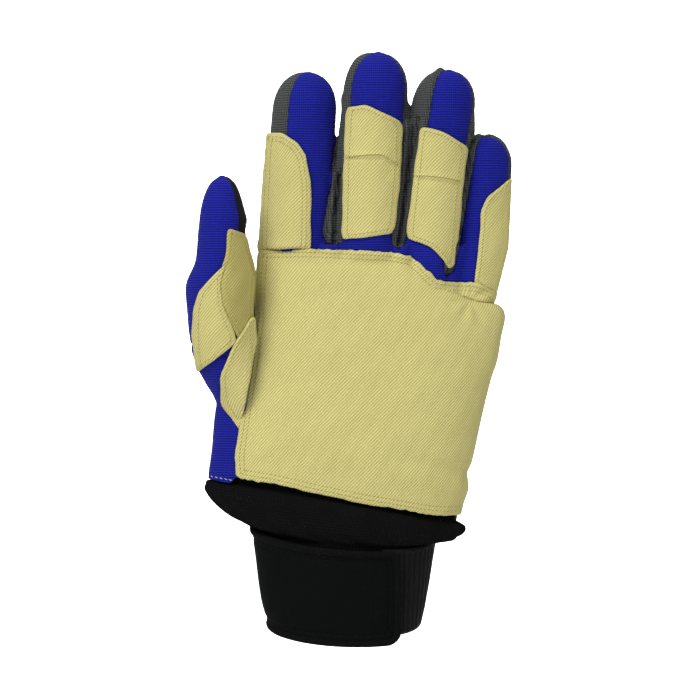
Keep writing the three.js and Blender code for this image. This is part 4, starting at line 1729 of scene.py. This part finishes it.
def tube_surface(rings: Array) -> Surface:
    """Skins rings of points into a tube that is open at both ends.

    Args:
        rings: an array of rings in rising order, each with as many points.

    Returns:
        The tube.
    """
    count, columns = rings.shape[:2]
    column = np.arange(columns)
    after = (column + 1) % columns
    walls = []
    for row in range(count - 1):
        a, b = row * columns + column, row * columns + after
        walls += [np.stack([a, b, b + columns], 1), np.stack([a, b + columns, a + columns], 1)]
    points, faces = rings.reshape(-1, 3), np.vstack(walls)
    return Surface(points, faces, vertex_normals(points, faces))


@dataclass
class Wrist:
    """The knit cuff, the strap with its bound edges, and the ribbed grip."""

    form: HandForm
    band_height: float = 43 * MM
    lift: float = 7 * MM
    pitch: float = 0.25
    breadth: float = 80 * MM
    depth: float = 56 * MM
    # The strap: its wall, its rounded end, its bound edge and its seams
    strap_wall: float = 2.6 * MM
    strap_edge: float = 0.8 * MM
    strap_swell: float = 0.25 * MM
    tab_end: float = 24.5 * MM
    tab_corner: float = 6 * MM
    binding_width: float = 3.0 * MM
    binding_rise: float = 0.95 * MM
    binding_lift: float = 0.12 * MM
    binding_foot: float = 0.1 * MM
    seam_in: float = 5.2 * MM
    seam_deep: float = 0.4 * MM
    seam_width: float = 0.7 * MM
    seam_start: float = -32 * MM
    seam_step: float = 2.3 * MM
    seam_apart: float = 8 * MM
    seam_round: float = 38 * MM
    # The grip: how far it lies inside the band, and its grooves
    grip_in: float = 2.9 * MM
    grip_wall: float = 2.2 * MM
    grip_lap: float = 8 * MM
    grip_drop: float = 3 * MM
    grip_edge: float = 0.6 * MM
    groove_depth: float = 0.8 * MM
    groove_pitch: float = 2.9 * MM
    groove_power: float = 1.6
    # The knit: how far it lies inside the band, its swell over it, its ribs and gathers
    knit_in: float = 5.4 * MM
    knit_wall: float = 1.6 * MM
    knit_rise: float = 13 * MM
    knit_columns: int = 630
    knit_reach: float = 140 * MM
    rib_count: int = 140
    rib_rise: float = 0.2 * MM
    gather: float = 0.7 * MM
    # Columns: up, left, right, deep, lean
    band_rows: Rows = field(default_factory=lambda: [
        (0, -0.415, 0.445, 0.46, -0.03),
        (0.3, -0.465, 0.48, 0.485, -0.04),
        (1, -0.515, 0.54, 0.52, -0.07),
    ])
    # Columns: rise, left, right, deep, lean, share of the pitch
    knit_rows: Rows = field(default_factory=lambda: [
        (0.18, -0.42, 0.445, 0.44, -0.08, 1),
        (0.37, -0.478, 0.464, 0.45, -0.1, 0.7),
        (0.62, -0.528, 0.472, 0.445, -0.13, 0.3),
        (0.82, -0.546, 0.467, 0.43, -0.155, 0.1),
        (0.94, -0.543, 0.455, 0.4, -0.167, 0),
        (1.04, -0.515, 0.425, 0.35, -0.168, 0),
        (1.25, -0.495, 0.405, 0.34, -0.168, 0),
    ])

    def band(self, offset: float, columns: int = 420, count: int = 64) -> tuple[Surface, Array]:
        """Makes a face of the band, which carries its points' places round it.

        Args:
            offset: how far it lies outside the band's outer face.
            columns: how many points go round.
            count: how many rings there are.

        Returns:
            The surface, and each point's height on the band.
        """
        rows = np.array(self.band_rows)
        up = np.linspace(-0.012, 1.012, count)
        left, right, deep, lean = (curve_through(rows[:, 0], rows[:, k], up) for k in range(1, 5))
        angle = np.linspace(-math.pi, math.pi, columns, endpoint=False)
        half = ((right - left) / 2 * self.breadth + offset)[:, None]
        x = ((left + right) / 2 * self.breadth)[:, None] + half * np.sin(angle)
        y = -(deep * self.depth + offset)[:, None] * np.cos(angle)
        z = self.lift + up[:, None] * self.band_height + lean[:, None] * x + self.pitch * y
        surface = tube_surface(np.stack([x, y, z], 2))
        step = np.hypot(np.diff(x, axis=1), np.diff(y, axis=1))
        arc = np.concatenate([np.zeros((count, 1)), np.cumsum(step, axis=1)], axis=1)
        arc -= arc[:, columns // 2:columns // 2 + 1]
        surface.carried = arc.reshape(-1)
        return surface, np.repeat(up * self.band_height, columns)

    def strap_keep(self, points: Array, height: Array) -> Array:
        """Parts off the strap, whose front end has round corners.

        Args:
            points: the band's places.
            height: their heights on the band.

        Returns:
            How far each point is inside the strap's outline.
        """
        end = self.tab_end - points[:, 0]
        edge = np.minimum(height, self.band_height - height)
        corner = self.tab_corner
        bend = corner - np.hypot(np.maximum(corner - end, 0), np.maximum(corner - edge, 0))
        rounded_end = np.where((end < corner) & (edge < corner), bend, np.minimum(end, edge))
        return np.where(points[:, 1] < 0, rounded_end, np.minimum(end, edge))

    def build_strap(self, wardrobe: Wardrobe) -> None:
        """Makes the strap, the stitches on it and the binding round its edges.

        Args:
            wardrobe: the materials.
        """
        surface, height = self.band(0)
        keep = self.strap_keep(surface.points, height)
        strap = surface.clipped(keep)
        edge = strap.border
        inward = self.strap_edge * (1 - between(0, 1.3 * MM, edge))
        swell = self.strap_swell * wobble(strap.points[:, 0], strap.points[:, 2], 32 * MM)
        swell *= between(0, 8 * MM, edge)
        seam = self.seam_deep * bell(edge - self.seam_in, self.seam_width)
        points, faces = strap.thick(swell - inward - seam, inward * 0.6 - self.strap_wall)
        made = piece_object("wrist_strap", points, faces, wardrobe.made["neoprene"])
        dress(made, "strap")
        tree = BVHTree.FromPolygons(points.tolist(), faces.tolist())
        marks = []
        for spots, ways in self.strap_lines():
            for spot, way in zip(spots, ways):
                found = spot_on_front(tree, spot[0], spot[1], 0.3)
                if found:
                    marks.append((found[0], Vector((way[0], 0, way[1])), found[1]))
        sew("strap_stitches", marks, Thread(1.4 * MM, 0.28 * MM, "dark_thread"), wardrobe)
        binding = surface.clipped(np.minimum(keep, self.binding_width - keep))
        share = np.clip(binding.border / (self.binding_width / 2), 0, 1)
        rise = self.binding_rise * np.sqrt(np.maximum(1 - (1 - share) ** 2, 0)) + self.binding_lift
        points, faces = binding.thick(rise, np.full(len(rise), self.binding_foot))
        made = piece_object("strap_edge_binding", points, faces, wardrobe.made["black_knit"])
        dress(made, "strap_binding")

    def strap_lines(self) -> list[tuple[Array, Array]]:
        """Draws the strap's seams: one along each edge and two across its end.

        Returns:
            The stitches' places in x and z on each seam, with their directions.
        """
        rows = np.array(self.band_rows)
        lines = []
        for level in (self.seam_in, self.band_height - self.seam_in):
            up = np.array([level / self.band_height])
            lean, deep = (float(curve_through(rows[:, 0], rows[:, k], up)[0]) for k in (4, 3))
            x = np.arange(self.seam_start, self.tab_end - self.seam_in - 0.5 * MM, self.seam_step)
            y = -deep * self.depth * np.sqrt(np.maximum(1 - (x / self.seam_round) ** 2, 0))
            z = self.lift + level + lean * x + self.pitch * y
            lines.append((np.stack([x, z], 1), unit(np.stack([np.gradient(x), np.gradient(z)], 1))))
        for back in (self.seam_in, self.seam_in + self.seam_apart):
            level = np.arange(self.seam_in, self.band_height - self.seam_in, self.seam_step)
            x = np.full(len(level), self.tab_end - back)
            y = -0.5 * self.depth * np.sqrt(1 - (x / self.seam_round) ** 2)
            z = self.lift + level - 0.05 * x + self.pitch * y
            lines.append((np.stack([x, z], 1), np.repeat([[0.0, 1.0]], len(x), 0)))
        return lines

    def build_grip(self, wardrobe: Wardrobe) -> None:
        """Makes the ribbed grip that goes on from the strap's end.

        Args:
            wardrobe: the materials.
        """
        surface, height = self.band(-self.grip_in, columns=640)
        past_end = surface.points[:, 0] - self.tab_end + self.grip_lap
        rim = np.minimum(height - self.grip_drop, self.band_height - height)
        grip = surface.clipped(np.minimum(past_end, rim))
        waves = 0.5 + 0.5 * np.cos(2 * math.pi * grip.carried / self.groove_pitch)
        on_front = between(6 * MM, 3 * MM, grip.points[:, 1])
        ribs = self.groove_depth * waves**self.groove_power * between(1.2 * MM, 2.4 * MM, grip.border)
        ribs *= on_front
        inward = self.grip_edge * (1 - between(0, 1.2 * MM, grip.border))
        points, faces = grip.thick(-ribs - inward, inward * 0.5 - self.grip_wall)
        made = piece_object("ribbed_grip", points, faces, wardrobe.made["rubber"])
        dress(made, "rib_grip")

    def knit_table(self) -> Array:
        """Joins the rows inside the band to the rows over it.

        Returns:
            Rows of level, left, right, depth, lean and share of the pitch.
        """
        rows = []
        for up, left, right, deep, lean in self.band_rows:
            level = self.lift + max(up, 0.05) * self.band_height
            sides = (left * self.breadth + self.knit_in, right * self.breadth - self.knit_in)
            rows.append((level, *sides, deep * self.depth - self.knit_in, lean, 1.0))
        top = self.lift + self.band_height
        for rise, left, right, deep, lean, share in self.knit_rows:
            sides = (left * self.form.palm_breadth, right * self.form.palm_breadth)
            rows.append((top + rise * self.knit_rise, *sides, deep * self.depth, lean, share))
        return np.array(rows)

    def build_knit(self, wardrobe: Wardrobe) -> None:
        """Makes the knit cuff, which lies inside the strap, swells over it and goes up under the palm's hem.

        Args:
            wardrobe: the materials.
        """
        table = self.knit_table()
        top = self.lift + self.band_height
        inside = np.linspace(table[0, 0], top, 24)
        over = np.linspace(top, table[-1, 0], 46)[1:]
        level = np.concatenate([inside, over])
        left, right, deep, lean, share = (
            curve_through(table[:, 0], table[:, k], level) for k in range(1, 6)
        )
        angle = np.linspace(-math.pi, math.pi, self.knit_columns, endpoint=False)
        swell = (between(top, top + 4 * MM, level) * between(top + 13 * MM, top + 9 * MM, level))[:, None]
        folds = self.gather * swell * (np.sin(12 * angle + 0.5) + 0.6 * np.sin(19 * angle + 2 + 3 * swell))
        folds += self.rib_rise * np.cos(self.rib_count * angle)
        x = ((left + right) / 2)[:, None] + (((right - left) / 2)[:, None] + folds) * np.sin(angle)
        y = -(deep[:, None] + folds) * np.cos(angle)
        z = level[:, None] + lean[:, None] * x + share[:, None] * self.pitch * y
        knit = tube_surface(np.stack([x, y, z], 2))
        points, faces = knit.thick(np.zeros(len(knit.points)), np.full(len(knit.points), -self.knit_wall))
        across, up = np.meshgrid(np.linspace(-self.knit_reach, self.knit_reach, self.knit_columns), level)
        places = np.tile(np.stack([across.reshape(-1), up.reshape(-1)], 1), (2, 1))
        made = piece_object("knit_cuff", points, faces, wardrobe.made["black_knit"], places)
        dress(made, "cuff_knit")

    def build(self, wardrobe: Wardrobe) -> None:
        """Makes every piece of the wrist.

        Args:
            wardrobe: the materials.
        """
        self.build_knit(wardrobe)
        self.build_strap(wardrobe)
        self.build_grip(wardrobe)


# The studio


@dataclass(frozen=True)
class Lamp:
    """A soft square light.

    Attributes:
        name: its name.
        place: where it hangs.
        target: where it faces.
        size: its side.
        power: its power in watts.
    """

    name: str
    place: tuple[float, float, float]
    target: tuple[float, float, float]
    size: float
    power: float


@dataclass
class Studio:
    """The camera, the soft lights, and a pale floor that bends up behind the object."""

    across: float = 2.2 * MM
    height: float = 129.8 * MM
    width: float = 308 * MM
    lens: float = 250.0
    sensor: float = 36.0
    floor: float = -150 * MM
    side: float = 2.4
    near: float = -3.2
    bend_start: float = 2.7
    bend: float = 0.5
    bend_steps: int = 16
    top: float = 2.2
    paper: float = 0.9
    surroundings: float = 0.34

    def lamps(self) -> list[Lamp]:
        """Lists the lights: three on the object and two on the paper behind it.

        Returns:
            The lights.
        """
        front = (self.across, 0, self.height)
        paper = (0, 3.2, 0.1)
        return [
            Lamp("key", (-0.5, -0.8, 0.95), front, 0.7, 13.5),
            Lamp("fill", (0.9, -0.8, 0.3), front, 0.9, 1.9),
            Lamp("top", (0.1, 0.3, 1.2), front, 0.9, 4.5),
            Lamp("paper_left", (-1.1, 2.3, 0.5), paper, 0.8, 40),
            Lamp("paper_right", (1.1, 2.3, 0.5), paper, 0.8, 40),
        ]

    def backdrop(self) -> None:
        """Makes the seamless paper."""
        profile = [(self.near, self.floor), (self.bend_start, self.floor)]
        for number in range(1, self.bend_steps):
            turn = 0.5 * math.pi * number / self.bend_steps
            out = self.bend_start + self.bend * math.sin(turn)
            profile.append((out, self.floor + self.bend * (1 - math.cos(turn))))
        profile.append((self.bend_start + self.bend, self.top))
        points = np.array([(x, y, z) for y, z in profile for x in (-self.side, self.side)])
        row = np.arange(len(profile) - 1) * 2
        faces = np.vstack([np.stack([row, row + 1, row + 3], 1), np.stack([row, row + 3, row + 2], 1)])
        paper = bpy.data.materials.new("paper")
        paper.use_nodes = True
        shader = paper.node_tree.nodes["Principled BSDF"]
        shader.inputs["Base Color"].default_value = (self.paper, self.paper, self.paper, 1)
        shader.inputs["Roughness"].default_value = 0.9
        piece_object("backdrop", points, faces, paper)

    def hang(self, lamp: Lamp) -> None:
        """Adds one light to the scene.

        Args:
            lamp: the light.
        """
        light = bpy.data.lights.new(lamp.name, "AREA")
        light.energy = lamp.power
        light.size = lamp.size
        made = bpy.data.objects.new(lamp.name, light)
        made.location = lamp.place
        made.rotation_euler = (Vector(lamp.target) - made.location).to_track_quat("-Z", "Y").to_euler()
        bpy.context.scene.collection.objects.link(made)

    def build(self) -> None:
        """Sets up paper, lights, surroundings and camera."""
        scene = bpy.context.scene
        self.backdrop()
        for lamp in self.lamps():
            self.hang(lamp)
        world = bpy.data.worlds.new("studio")
        world.use_nodes = True
        background = world.node_tree.nodes["Background"]
        background.inputs["Color"].default_value = (1, 1, 1, 1)
        background.inputs["Strength"].default_value = self.surroundings
        scene.world = world
        lens = bpy.data.cameras.new("camera")
        lens.lens = self.lens
        lens.sensor_width = self.sensor
        camera = bpy.data.objects.new("camera", lens)
        camera.location = (self.across, -self.width * self.lens / self.sensor, self.height)
        camera.rotation_euler = (0.5 * math.pi, 0, 0)
        scene.collection.objects.link(camera)
        scene.camera = camera
        scene.view_settings.view_transform = "Standard"


def main() -> None:
    """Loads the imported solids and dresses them."""
    logging.basicConfig(level=logging.INFO, format="%(name)s: %(message)s")
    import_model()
    wardrobe = Wardrobe()
    form = HandForm()
    shell = Shell(form)
    LOG.info("the skin has %d points", len(shell.skin.points))
    patches = Patches(shell)
    shell.build(wardrobe, patches.outlines)
    patches.build(wardrobe)
    Wrist(form).build(wardrobe)
    Studio().build()
    bpy.context.view_layer.update()


if __name__ == "__main__":
    main()
